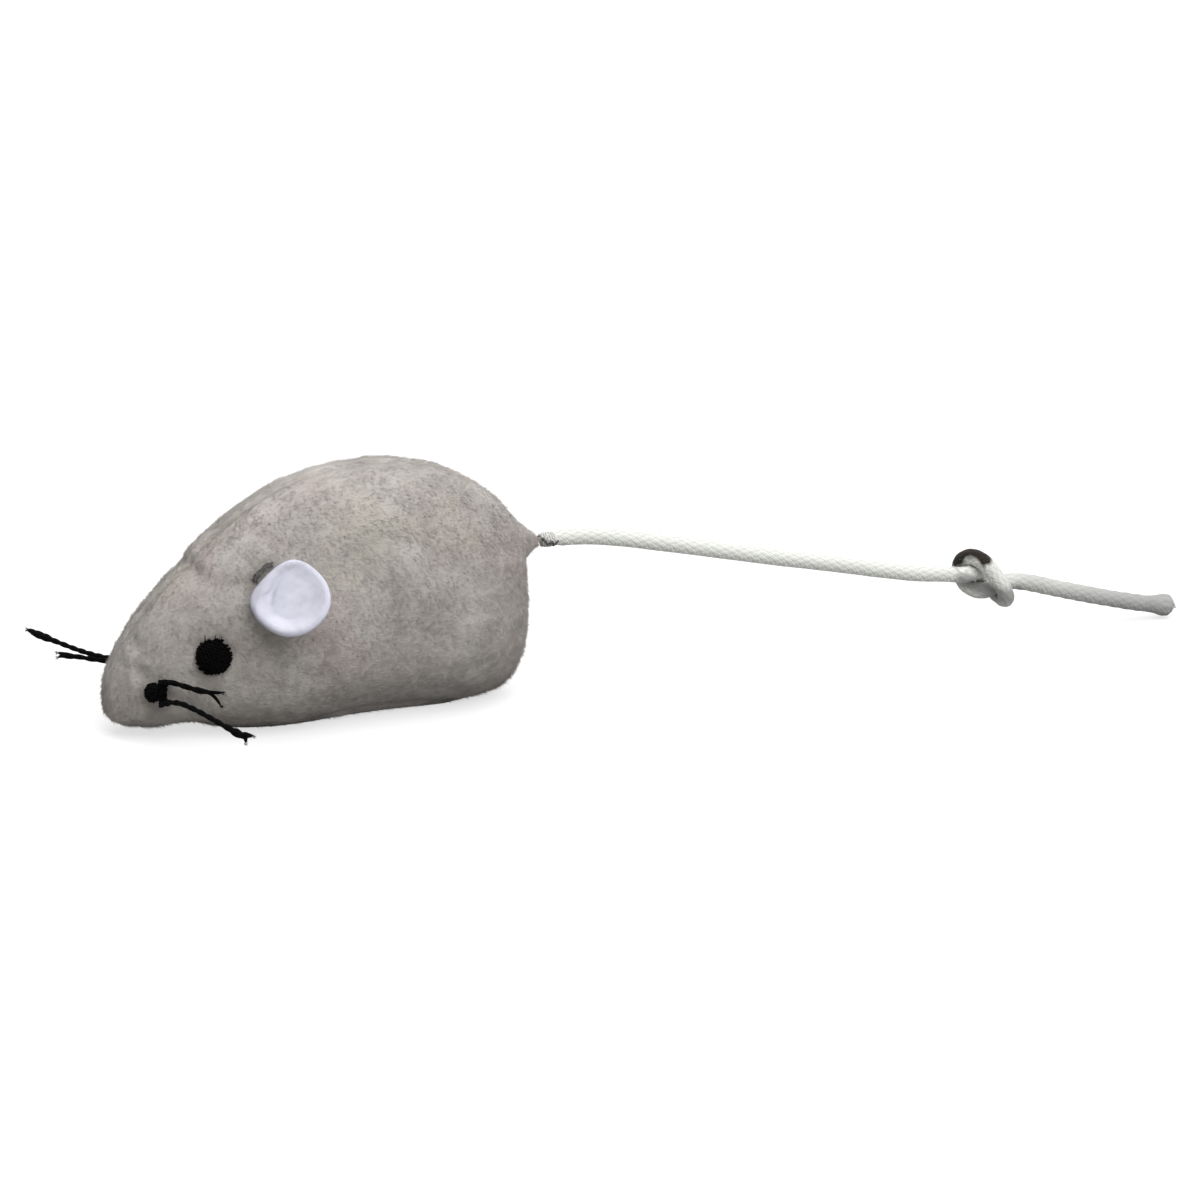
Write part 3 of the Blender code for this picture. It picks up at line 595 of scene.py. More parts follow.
def braid(run, angle):
    # Height from 0 to 1 of a round braid: two sets of strands that pass over and under each other
    around = angle * tail["braidAround"] / (2 * math.pi)
    along = run / tail["cellLength"]
    first, second = around + along / 2, around - along / 2
    over = (np.floor(first) + np.floor(second)) % 2 < 1
    one, two = first % 1.0, second % 1.0
    across = np.where(over, one, two)
    length = np.where(over, two, one)
    return (1 - np.abs(2 * across - 1) ** 2.4) * (0.55 + 0.45 * np.sin(math.pi * length))


def buildTail():
    lead, knot, end = tailControlPoints()
    # The line starts inside the whipping, so that no gap shows when the tail swings
    hidden = [Vector(pivot) + Vector((share * tail["whippingDiameter"] / 2, 0.0, 0.0)) for share in (0.25, 0.7)]
    route = smoothRoute(hidden + lead + knot + end, tail["spacing"])
    run = runOf(route)
    knotStart, knotEnd = (run[np.argmin(np.linalg.norm(route - np.array(point), axis=1))]
                          for point in (knot[0], knot[-1]))
    total = run[-1]
    plain, tight, used, frayed = (tail[f"{part}Share"] for part in ("lead", "knot", "end", "fray"))
    thickness = ((0.0, 0.70), (0.0008, 0.86), (0.0016, plain), (knotStart - 0.001, plain),
                 (knotStart + 0.002, tight), (knotEnd - 0.002, tight), (knotEnd + 0.0015, used),
                 (total - tail["frayReach"], used), (total - 0.0012, frayed), (total - 0.0005, frayed * 0.95),
                 (total - 0.00018, frayed * 0.78), (total, frayed * 0.55))  # run, and share of the diameter
    share = np.interp(run, *zip(*thickness))
    angle = np.arange(tail["sides"]) * 2 * math.pi / tail["sides"]
    height = braid(run[:, None], angle[None, :])
    fade = np.clip((total - run) / tail["frayReach"], 0.0, 1.0)[:, None]  # the braid opens at the cut end
    height = height * fade + (1 - fade) * (0.5 + 0.5 * np.sin(angle * 9 + 2.0))[None, :] * 0.8
    depth = tail["braidDepth"]
    grid = tail["diameter"] / 2 * share[:, None] * (1 - depth * 0.45 + depth * height)
    wobble = waves(route, 0.004, 3)[:, None] * tail["wobble"]
    piece = addPiece("tailCord", sweptTube(route, grid * (1 + wobble), tail["sides"]), braidedCord,
                     "tail", ["tail_cord"])
    # Painted shade for the braid's crevices, most where the braid is lowest
    crease = np.clip(1.0 - height * 1.6, 0.0, 1.0)
    addShare(piece, "creaseShadeShare", np.concatenate([crease.ravel(), [0.0, 0.6]]))
    points = pointsOf(piece.data)
    seen = pixelsOf(points)
    knotted = np.abs(points[:, 0] - pivot.x - tail["knotPlace"][0]) < tail["knotReach"]
    ragged = 1 + 0.22 * waves(points, 0.0009, 4)
    # Shares of the knot's painted shadow and painted shade
    for part in ("loopShadow", "grey"):
        away = lineDistance(seen, [np.array(pixel, float) for pixel in tail[f"{part}Pixels"]])
        share = np.clip(1.6 - 1.3 * away / (tail[f"{part}Reach"] * ragged), 0.0, 1.0)
        addShare(piece, f"{part}Share", share * knotted)
    return piece, route, total


def buildFray(route):
    # Loose ends of the braid's fibres at the cut
    tip, way = route[-1], unit(route[-1] - route[-14])
    side, up = squareDirections(route[-14:])
    side, up = side[-1], up[-1]
    shapes = []
    for _ in range(int(tail["strands"] * few)):
        angle, share = luck.uniform(0, 2 * math.pi), math.sqrt(luck.uniform(0.0, 1.0))
        out = side * math.cos(angle) + up * math.sin(angle)
        reach = tail["diameter"] / 2 * tail["frayShare"] * share * 0.92
        length = luck.uniform(0.0005, 0.0009) * (1.2 - 0.9 * share**2)
        root = tip - way * (0.0003 + 0.0007 * share) + out * reach * 0.85
        flare = out * luck.uniform(0.0, 0.4) * length * share + luck.normal(size=3) * 0.00008
        stops = np.linspace(0.0, 1.0, 5)[:, None]
        line = root + way * length * stops + flare * stops**2
        line[:, 2] = np.maximum(line[:, 2], 0.00012)
        shapes.append(sweptTube(line, 0.00009 * np.array([1.0, 1.0, 1.0, 0.85, 0.4]), 5))
    # Flyaway fibres along the whole cord
    count = int(tail["flyaways"] * few)
    where = luck.integers(20, len(route) - 10, count)
    sides, ups = squareDirections(route)
    angle = luck.uniform(0, 2 * math.pi, count)[:, None]
    out = sides[where] * np.cos(angle) + ups[where] * np.sin(angle)
    along = unit(np.gradient(route, axis=0))[where] * luck.choice([-1.0, 1.0], count)[:, None]
    roots = route[where] + out * tail["diameter"] / 2 * 0.93
    ways = along * 0.85 + out * 0.35 + luck.normal(size=(count, 3)) * 0.15
    shapes.append(spikes(roots, ways * luck.uniform(0.0003, 0.0006, (count, 1)), 0.00004))
    return addPiece("tailLooseFibres", joinShapes(shapes), braidedCord, "tail")


tailCord, tailRoute, tailLength = buildTail()
tailFibres = buildFray(tailRoute)
print(f"tail cord made, {tailLength * 1000:.1f} mm")


# The body's form, as the CAD has it
body = {
    "length": 0.0520, "width": 0.0240, "height": 0.0300, "bellyFlat": 0.0005, "plush": 0.0016,
    "noseHeight": 0.15, "rumpHeight": 0.47, "tailHeight": 0.587,
    "baseLength": 0.81, "baseWidth": 0.625, "baseNarrowing": 0.25,
    # The rump's point: its length, the radius of its tip, how it falls away from there, and its soft foot
    "pointLength": 0.0022, "pointTip": 0.00070, "pointFall": 0.00150, "pointPower": 0.81,
    "pointBase": 0.0034, "pointFlare": 0.0006, "pointSoft": 0.0003, "pointFrom": 0.012, "pointReach": 0.007,
    "skinLift": -0.00020, "skinThickness": 0.0012, "lumps": 0.00010, "lumpSize": 0.007, "fill": 0.85,
    "seamDepth": 0.00030, "seamReach": 0.0007, "seamPucker": 0.08, "stitchPitch": 0.0026,
    "baseSeamDepth": 0.00030, "baseSeamReach": 0.10, "baseSeamPucker": 0.2, "baseStitches": 60,
}
sewnAt = {"ear": (0.336, 0.638), "eye": (0.211, 0.343), "knot": (0.097, 0.205)}  # along and up a side panel
ringShares = ((0.012, 0.23, 0.29, 0.065, 1.00), (0.085, 0.43, 0.475, 0.040, 1.00),
              (0.205, 0.67, 0.675, 0.025, 0.80), (0.355, 0.91, 0.88, 0.000, 1.00),
              (0.520, 1.00, 0.985, 0.010, 0.75), (0.680, 1.00, 1.00, 0.010, 0.65),
              (0.825, 0.89, 0.94, 0.000, 0.95), (0.940, 0.64, 0.80, 0.045, 1.00),
              (0.992, 0.27, 0.64, 0.220, 1.00))  # along, half width, top, bottom, underside
sectionShares = ((0.00, 1.00, 0.0), (0.50, 0.95, 0.0), (0.90, 0.72, 0.0), (1.04, 0.42, 0.0),
                 (0.96, 0.12, 0.4), (0.55, 0.00, 1.0), (0.00, 0.00, 0.0))  # across, up, drawn in


def cageShape():
    half = len(sectionShares) - 1
    around = 2 * half
    verts = [(0.0, 0.0, body["noseHeight"])]
    for along, halfWidth, top, bottom, underside in ringShares:
        for step in range(around):
            across, up, drawn = sectionShares[step if step <= half else around - step]
            across *= (1 - drawn * (1 - underside)) * (1 if step <= half else -1)
            verts.append((along, across * halfWidth, bottom + up * (top - bottom)))
    verts.append((1.0, 0.0, body["rumpHeight"]))
    faces = []
    for step in range(around):
        after = (step + 1) % around
        faces.append((0, 1 + step, 1 + after))
        for ring in range(len(ringShares) - 1):
            here = 1 + ring * around
            faces.append((here + step, here + around + step, here + around + after, here + after))
        last = 1 + (len(ringShares) - 1) * around
        faces.append((last + after, last + step, len(verts) - 1))
    return verts, faces


def softened(mesh, levels):
    obj = bpy.data.objects.new("softening", mesh)
    scene.collection.objects.link(obj)
    modifier = obj.modifiers.new("soften", "SUBSURF")
    modifier.levels = modifier.render_levels = levels
    bpy.context.view_layer.update()
    made = bpy.data.meshes.new_from_object(obj.evaluated_get(bpy.context.evaluated_depsgraph_get()))
    bpy.data.objects.remove(obj)
    return made


def sizedForm(levels):
    cage = bpy.data.meshes.new("cage")
    verts, faces = cageShape()
    cage.from_pydata(verts, [], faces)
    cage.update()
    corners = pointsOf(softened(cage, 2))  # the CAD's own level sets the size
    low, high = corners.min(0), corners.max(0)
    scale = np.array([body["length"], body["width"], body["height"]]) / (high - low)
    foot = np.array([(low[0] + high[0]) / 2, (low[1] + high[1]) / 2, low[2]])
    made = softened(cage, levels)
    setPoints(made, (pointsOf(made) - foot) * scale - (0.0, 0.0, body["bellyFlat"]))
    return made


def treeOf(mesh):
    corners = pointsOf(mesh)
    return BVHTree.FromPolygons([Vector(c) for c in corners], [tuple(p.vertices) for p in mesh.polygons])


cadForm = treeOf(sizedForm(2))


def onSide(piece, side):
    # Where a piece sits on a side panel: the point and the outward normal
    shares = sewnAt[piece]
    start = Vector(((shares[0] - 0.5) * body["length"], side * body["width"], shares[1] * body["height"]))
    place, normal, _, _ = cadForm.ray_cast(start, Vector((0.0, -side, 0.0)))
    return place, normal


def photoRay(x, y):
    # From the camera's place, the way to a pixel of the photo
    right, up, back = cameraAxes()
    step, middle = camera["photoWidth"] / camera["photoSide"], camera["photoSide"] / 2
    aim = right * (x - middle) * step + up * (middle - y) * step - back * camera["distance"]
    return Vector(camera["target"]) + back * camera["distance"], aim.normalized()


def underPixel(x, y):
    # The point of the body that the photo shows at a pixel, or None
    return cadForm.ray_cast(*photoRay(x, y))[0]


rump = cadForm.ray_cast(Vector((body["length"], 0.0, body["tailHeight"] * body["height"])), Vector((-1, 0, 0)))[0]


def baseWidth(x):
    # Half the belly panel's width, from -1 at its front to 1 at its rear
    return body["baseWidth"] * body["width"] / 2 * (1 - body["baseNarrowing"] * (1 - x) / 2)


def baseShare(points):
    # 1 on the belly panel's oval, less inside it
    x = points[:, 0] / (body["baseLength"] * body["length"] / 2)
    return np.hypot(x, points[:, 1] / baseWidth(x))


# Cloth: the filling presses the plush out between its seams and sewn spots
sewing = {
    "grow": 20.0, "frames": 20, "pressure": 4.0, "slack": -0.020, "mass": 0.25, "bending": 0.8,
    "most": 0.00018, "least": -0.00006,  # how far a point may go, out and in
    "backPull": 0.00035, "basePull": 0.00030, "onFloor": 0.0004, "rumpReach": 0.0035, "noseShare": 0.045,
    "spots": {"ear": (0.0015, 0.00005), "eye": (0.0019, 0.00025), "knot": (0.0012, 0.0)},  # reach and pull
}


def fromNose(points):
    # 0 at the tip of the nose, where the seams lie flat, and 1 a little way behind it
    return np.clip((points[:, 0] + body["length"] / 2 - 0.0012) / 0.0040, 0.0, 1.0)


def heldWeights(points, normals):
    # 1 where thread holds the plush, and how far it is pulled in there
    under = normals[:, 2] < -0.25
    share = baseShare(points)
    held = np.zeros(len(points))
    pull = np.zeros(len(points))
    back = (np.abs(points[:, 1]) < 0.0002) & ~(under & (share < 0.99))
    baseLine = under & (np.abs(share - 1.0) < 0.035)
    for mask, depth in ((back, sewing["backPull"]), (baseLine, sewing["basePull"])):
        held[mask] = 1.0
        pull[mask] = depth * fromNose(points[mask])
    for piece, (reach, depth) in sewing["spots"].items():
        for side in (-1, 1):
            place = np.array(onSide(piece, side)[0])
            near = np.linalg.norm(points - place, axis=1) < reach
            held[near], pull[near] = 1.0, depth
    held[points[:, 2] < sewing["onFloor"]] = 1.0
    held[np.linalg.norm(points - np.array(rump), axis=1) < sewing["rumpReach"]] = 1.0
    held[points[:, 0] < (sewing["noseShare"] - 0.5) * body["length"]] = 1.0  # the stiff tip of the nose
    return held, pull


def puffed(mesh):
    points, normals = pointsOf(mesh), normalsOf(mesh)
    held, pull = heldWeights(points, normals)
    start = points - normals * pull[:, None]
    copy = mesh.copy()
    setPoints(copy, start * sewing["grow"])
    obj = bpy.data.objects.new("puffing", copy)
    scene.collection.objects.link(obj)
    group = obj.vertex_groups.new(name="held")
    group.add([int(i) for i in np.nonzero(held > 0.5)[0]], 1.0, "REPLACE")
    cloth = obj.modifiers.new("cloth", "CLOTH")
    cloth.settings.vertex_group_mass = "held"
    cloth.settings.mass = sewing["mass"]
    cloth.settings.use_pressure = True
    cloth.settings.uniform_pressure_force = sewing["pressure"]
    cloth.settings.shrink_min = sewing["slack"]
    cloth.settings.bending_stiffness = sewing["bending"]
    cloth.settings.effector_weights.gravity = 0.0
    cloth.collision_settings.use_collision = False
    cloth.point_cache.frame_start, cloth.point_cache.frame_end = 1, sewing["frames"]
    for number in range(1, sewing["frames"] + 1):
        scene.frame_set(number)
    made = obj.evaluated_get(bpy.context.evaluated_depsgraph_get()).to_mesh()
    result = pointsOf(made) / sewing["grow"]
    bpy.data.objects.remove(obj)
    scene.frame_set(1)
    shift = result - start
    length = np.linalg.norm(shift, axis=1, keepdims=True)
    shift *= np.minimum(1.0, sewing["most"] / np.maximum(length, 1e-9))
    inward = np.minimum((shift * normals).sum(1) - sewing["least"], 0.0)  # never thinner than the CAD's form
    shift -= normals * inward[:, None]
    middle = np.abs(points[:, 1]) < 0.00001
    shift[middle, 1] = 0.0
    print(f"cloth: the plush moved {np.abs(shift).max() * 1000:.2f} mm at most")
    return start + shift


# Details of the form, placed where the photo shows them
folds = {  # photo pixels, depth, reach
    "lobeTop": (((247, 530), (258, 536), (270, 547)), 0.00012, 0.0008),
    "earTack": (((252, 588), (258, 579), (266, 568)), 0.00025, 0.0009),
    "cheek": (((262, 636), (276, 644), (294, 647), (312, 644)), 0.00015, 0.0010),
    "flankEdge": (((352, 708), (383, 702), (421, 699), (455, 698), (484, 694)), 0.00050, 0.0030),
    "rumpEdge": (((504, 682), (514, 660), (521, 630), (522, 600)), 0.00050, 0.0034),
}
swells = {  # photo pixel, height, reach
    "neckLobe": ((226, 558), 0.00014, 0.0028), "nape": ((262, 500), 0.00010, 0.0055),
    "cheek": ((228, 612), 0.00012, 0.0040), "shoulder": ((300, 690), 0.00010, 0.0050),
}
neckCrease = {  # the fold where the neck's plush laps over the head, strongest at the back seam
    "pixels": ((174, 545), (184, 553), (192, 562), (203, 572), (211, 580), (221, 584), (235, 582), (246, 580)),
    "lobe": 0.00020, "lobeReach": 0.0034, "head": 0.00034, "headReach": 0.0024, "edge": 0.00055,
    "groove": 0.00026, "grooveReach": 0.00050, "fadeFrom": 180, "fadeTo": 214, "least": 0.60,
}


def creaseOffset(points):
    # Up on the neck's side of the fold and down on the head's side, alike on both flanks
    near = points.copy()
    near[:, 1] = -np.abs(near[:, 1])
    seen = pixelsOf(near)
    line = np.array(neckCrease["pixels"], float)
    best, side = np.full(len(points), np.inf), np.ones(len(points))
    for first, second in zip(line, line[1:]):
        way, away = second - first, spanDistance(seen, first, second)
        closer = away < best
        cross = way[1] * (seen[:, 0] - first[0]) - way[0] * (seen[:, 1] - first[1])
        side = np.where(closer, np.sign(cross), side)
        best = np.where(closer, away, best)
    away = best * camera["photoWidth"] / camera["photoSide"]
    lobe = neckCrease["lobe"] * np.exp(-((away / neckCrease["lobeReach"]) ** 2))
    head = neckCrease["head"] * np.exp(-((away / neckCrease["headReach"]) ** 2))
    step = np.tanh(away / neckCrease["edge"]) * np.where(side > 0, lobe, -head)
    fade = np.interp(seen[:, 0], (neckCrease["fadeFrom"], neckCrease["fadeTo"]), (1.0, neckCrease["least"]))
    return fade * (step - neckCrease["groove"] * np.exp(-((away / neckCrease["grooveReach"]) ** 2)))


def formOffset(points, normals):
    offset = np.full(len(points), body["skinLift"])
    share = baseShare(points)
    under = (normals[:, 2] < -0.1) & (share < 1.25)
    run = points[:, 0] * 1.1 + points[:, 2] * 0.7  # about the way along the back seam
    pucker = 1 + body["seamPucker"] * (np.cos(2 * math.pi * run / body["stitchPitch"]) - 1)
    top = np.exp(-(points[:, 1] / body["seamReach"]) ** 2) * np.where(under & (share < 1.0), 0.0, 1.0)
    tip = np.exp(-(np.linalg.norm(points - np.array(rump), axis=1) / 0.003) ** 2)
    offset -= body["seamDepth"] * top * pucker * (1 - tip) * (0.3 + 0.7 * fromNose(points))
    turn = np.arctan2(points[:, 1], points[:, 0])
    pucker = 1 + body["baseSeamPucker"] * (np.cos(turn * body["baseStitches"]) - 1)
    seam = body["baseSeamDepth"] * np.exp(-((share - 1.0) / body["baseSeamReach"]) ** 2) * pucker
    offset -= np.where(under, seam, 0.0)
    for line, depth, reach in folds.values():
        seen = [underPixel(*pixel) for pixel in line]
        seen = [np.array(place) for place in seen if place]
        for mirror in (1.0, -0.85):  # the other side has the same folds, shallower
            flip = np.array((1.0, 1.0 if mirror > 0 else -1.0, 1.0))
            away = lineDistance(points, [place * flip for place in seen])
            offset -= depth * abs(mirror) * np.exp(-(away / reach) ** 2)
    for pixel, height, reach in swells.values():
        place = np.array(underPixel(*pixel))
        for flip in (1.0, -1.0):
            away = np.linalg.norm(points - place * np.array((1.0, flip, 1.0)), axis=1)
            offset += height * np.exp(-(away / reach) ** 2) * (1.0 if flip > 0 else 0.8)
    offset += creaseOffset(points)
    soft = 0.5 + 0.5 * waves(points, body["lumpSize"], 5)
    offset += body["lumps"] * np.clip(soft, 0.0, 1.0) * np.where(points[:, 2] > 0.0015, 1.0, 0.0)
    return offset


def drawOutPoint(points):
    # The rump's point, drawn out to the whipping
    away = np.hypot(points[:, 1], points[:, 2] - rump.z)
    tip = rump.x + body["pointLength"]
    fall = body["pointFall"] * (np.maximum(away - body["pointTip"], 0.0) * 1000) ** body["pointPower"]
    fall += body["pointFlare"] * (np.maximum(away - body["pointBase"], 0.0) * 1000) ** 2
    gap = tip - fall - points[:, 0]
    lifted = points[:, 0] + 0.5 * (gap + np.sqrt(gap**2 + body["pointSoft"] ** 2))
    near = (points[:, 0] > body["pointFrom"]) & (away < body["pointReach"])
    points[:, 0] = np.where(near, np.minimum(lifted, tip), points[:, 0])


chin = {"place": -0.0168, "reach": 0.0027, "lift": 0.00080, "height": 0.0035}  # where the throat is drawn up


def buildSkin():
    # The plush's outside, and the undisturbed form's normals
    coarse = sizedForm(3)
    normals = normalsOf(softened(coarse, 1))
    setPoints(coarse, puffed(coarse))
    skin = softened(coarse, 1)
    points = pointsOf(skin)
    points += normals * formOffset(points, normals)[:, None]
    drawOutPoint(points)
    points[:, 2] = np.maximum(points[:, 2], 0.00002)
    drawn = np.exp(-(((points[:, 0] - chin["place"]) / chin["reach"]) ** 2))
    points[:, 2] += chin["lift"] * drawn * np.clip(1 - points[:, 2] / chin["height"], 0.0, 1.0)
    setPoints(skin, points)
    return skin, normals


skin, formNormals = buildSkin()
skinPoints, skinNormals = pointsOf(skin), normalsOf(skin)
skinTree = treeOf(skin)
skinFaces = np.array([tuple(p.vertices) for p in skin.polygons])
print("body form made:", len(skinPoints), "points")


def panelOfFaces():
    # 0 left, 1 right and 2 belly, for each face
    middle = skinPoints[skinFaces].mean(1)
    normal = skinNormals[skinFaces].mean(1)
    under = (baseShare(middle) < 1.0) & (normal[:, 2] < -0.1) & (middle[:, 2] < 0.25 * body["height"])
    return np.where(under, 2, np.where(middle[:, 1] < 0, 0, 1))


def snapBaseEdge(panel):
    # The points between the belly panel and the sides go on to the belly panel's smooth oval
    inside = np.zeros(len(skinPoints), bool)
    outside = np.zeros(len(skinPoints), bool)
    inside[skinFaces[panel == 2].ravel()] = True
    outside[skinFaces[panel != 2].ravel()] = True
    for number in np.nonzero(inside & outside)[0]:
        point = skinPoints[number]
        share = float(baseShare(point[None])[0])
        target = Vector((point[0] / share, point[1] / share, point[2]))
        place = skinTree.find_nearest(target)[0]
        skinPoints[number] = place


def shellOf(faces, thickness):
    # A closed shell of these faces of the skin, with an inner face and an edge all round
    used, local = np.unique(faces.ravel(), return_inverse=True)
    local = local.reshape(faces.shape)
    outer = skinPoints[used].copy()
    inner = outer - formNormals[used] * thickness
    count = len(used)
    shape = [tuple(face) for face in local.tolist()]
    seen = {}
    for face in shape:
        for first, second in zip(face, face[1:] + face[:1]):
            seen[(first, second)] = True
    edges = [pair for pair in seen if (pair[1], pair[0]) not in seen]
    shape += [tuple(corner + count for corner in reversed(face)) for face in local.tolist()]
    shape += [(second, first, first + count, second + count) for first, second in edges]
    return np.concatenate([outer, inner]), shape


facePanel = panelOfFaces()
snapBaseEdge(facePanel)
panelNodes = {"leftSidePanel": "left_side_panel", "rightSidePanel": "right_side_panel",
              "basePanel": "base_panel"}
for number, (name, node) in enumerate(panelNodes.items()):
    panel = addPiece(name, shellOf(skinFaces[facePanel == number], body["skinThickness"]), plushSkin,
                     "stuffed_body", [node])
print("plush panels made")


# The pile, its fibres brushed back and down
pile = {
    "perArea": 34.0e6, "length": 0.00062, "spread": 0.25, "width": 0.000060, "sunk": 0.00008,
    "lean": 66.0, "leanSpread": 9.0, "flow": (0.85, 0.0, -0.45), "flowSpread": 0.45,
    "swirl": 0.25, "swirlSize": 0.008, "tufts": 0.25, "tuftSize": 0.0022, "onFloor": 0.00003,
    "clear": {"eye": 0.00190, "knot": 0.00080}, "tackReach": 0.00015,  # bare round these
    "fringePlace": (0.0236, -0.0060, 0.0040), "fringeReach": 0.0035, "fringeGain": 1.6,
    "parts": 2, "onBelly": 0.25,  # the pieces of a side's pile, and the belly's share of fibres
}


def areasOf(corners):
    return 0.5 * np.linalg.norm(np.cross(corners[:, 2] - corners[:, 0], corners[:, 3] - corners[:, 1]), axis=1)


def pileOn(faces, count):
    corners = skinPoints[faces]
    areas = areasOf(corners)
    chosen = luck.choice(len(faces), count, p=areas / areas.sum())
    u, v = luck.uniform(size=(2, count, 1))
    weights = np.stack([(1 - u) * (1 - v), u * (1 - v), u * v, (1 - u) * v], axis=1)
    roots = (corners[chosen] * weights).sum(1)
    normals = unit((skinNormals[faces[chosen]] * weights).sum(1))
    keep = np.ones(count, bool)
    for name, reach in pile["clear"].items():
        for side in (-1, 1):
            keep &= np.linalg.norm(roots - np.array(onSide(name, side)[0]), axis=1) > reach
    folded = roots * np.where(roots[:, 1:2] > 0, (1.0, -1.0, 1.0), 1.0)
    tack = [np.array(underPixel(*pixel)) for pixel in folds["earTack"][0]]
    keep &= lineDistance(folded, tack) > pile["tackReach"]
    roots, normals = roots[keep], normals[keep]
    swirl = waves(roots, pile["swirlSize"], 8)[:, None] * pile["swirl"]
    flow = np.array(pile["flow"]) + swirl * (0.0, 1.0, 1.0)
    flow += luck.normal(size=flow.shape) * pile["flowSpread"]
    flow = unit(flow - normals * (flow * normals).sum(1, keepdims=True))
    lean = np.radians(pile["lean"] + luck.normal(size=(len(roots), 1)) * pile["leanSpread"])
    length = pile["length"] * (1 + pile["spread"] * luck.normal(size=(len(roots), 1))).clip(0.4, 1.7)
    length *= 1 + pile["tufts"] * waves(roots, pile["tuftSize"], 9)[:, None]
    away = np.linalg.norm(roots - np.array(pile["fringePlace"]), axis=1, keepdims=True)
    length *= 1 + (pile["fringeGain"] - 1) * np.exp(-(away / pile["fringeReach"]) ** 2)
    ways = (normals * np.cos(lean) + flow * np.sin(lean)) * length
    roots = roots - normals * pile["sunk"]
    low = roots[:, 2] + ways[:, 2] < pile["onFloor"]  # nothing goes through the floor
    ways[low, 2] = pile["onFloor"] - roots[low, 2]
    return spikes(roots, ways, pile["width"] * luck.uniform(0.75, 1.25, len(roots))), normals


def buildPile(name, faces, share):
    area = areasOf(skinPoints[faces]).sum()
    shape, normals = pileOn(faces, int(area * pile["perArea"] * share * few))
    piece = addPiece(name, shape, plushPile, "stuffed_body")
    addShare(piece, "tipShare", np.tile([0.0, 0.0, 0.0, 1.0], len(normals)))
    # The fibres take the light as the plush under them does, so that the pile looks soft
    piece.data.normals_split_custom_set_from_vertices(np.repeat(normals, 4, axis=0).tolist())
    print(f"{name}: {len(normals)} fibres on {area * 1e6:.0f} square mm")


for number, name in enumerate(("leftPile", "rightPile")):
    faces = skinFaces[facePanel == number]
    order = np.argsort(skinPoints[faces][:, :, 0].mean(1))
    for part, chosen in enumerate(np.array_split(order, pile["parts"])):
        buildPile(f"{name}{'AB'[part]}", faces[chosen], 1.0)
buildPile("basePile", skinFaces[facePanel == 2], pile["onBelly"])


# The ears: cupped felt with a rolled lip along the tacked edge
ear = {
    "diameter": 0.0100, "thickness": 0.0009, "hinge": 0.42, "tilt": 22.0, "lean": 45.0, "gap": 0.0003,
    "halfWidth": 0.00432, "halfLength": 0.00525, "squareness": 2.25, "cutSharpness": 6.0,
    "rings": 22, "sides": 96, "cup": 0.00045, "cupReach": 0.0016, "bumps": 0.000018, "bumpSize": 0.0009,
    "lipRise": 0.00050, "lipMiddle": 0.00070, "lipReach": 0.00060, "groove": 0.00036,
    "grooveAcross": 0.00150, "grooveLean": 0.40, "grooveBend": 150.0, "grooveReach": 0.00042,
    "rim": 0.00085, "rimFrom": 0.52, "rimAngle": 42.0, "rimSpread": 62.0, "rimLeast": 0.30, "fuzz": 900,
}


def earFrame(side):
    place, normal = onSide("ear", side)
    up = (Vector((0.0, 0.0, 1.0)) - normal * normal.z).normalized()
    back = up.cross(normal) * -side
    lean, tilt = math.radians(ear["lean"]), math.radians(ear["tilt"])
    edge = back * math.cos(lean) + up * math.sin(lean)
    flat = back * math.sin(lean) - up * math.cos(lean)
    across = flat * math.cos(tilt) + normal * math.sin(tilt)
    out = normal * math.cos(tilt) - flat * math.sin(tilt)
    turn = Matrix((edge * side, across, out)).transposed().to_4x4()
    return Matrix.Translation(place + normal * (ear["gap"] + ear["thickness"] / 2)) @ turn


def earReach(angle):
    # How far the felt goes from its middle: a squarish oval, cut straight where it is tacked
    power = ear["squareness"]
    oval = abs(math.cos(angle) / ear["halfWidth"]) ** power + abs(math.sin(angle) / ear["halfLength"]) ** power
    cut = ear["hinge"] * ear["diameter"] / max(-math.sin(angle), 0.05)
    sharp = ear["cutSharpness"]
    return (oval ** (sharp / power) + cut**-sharp) ** (-1 / sharp)


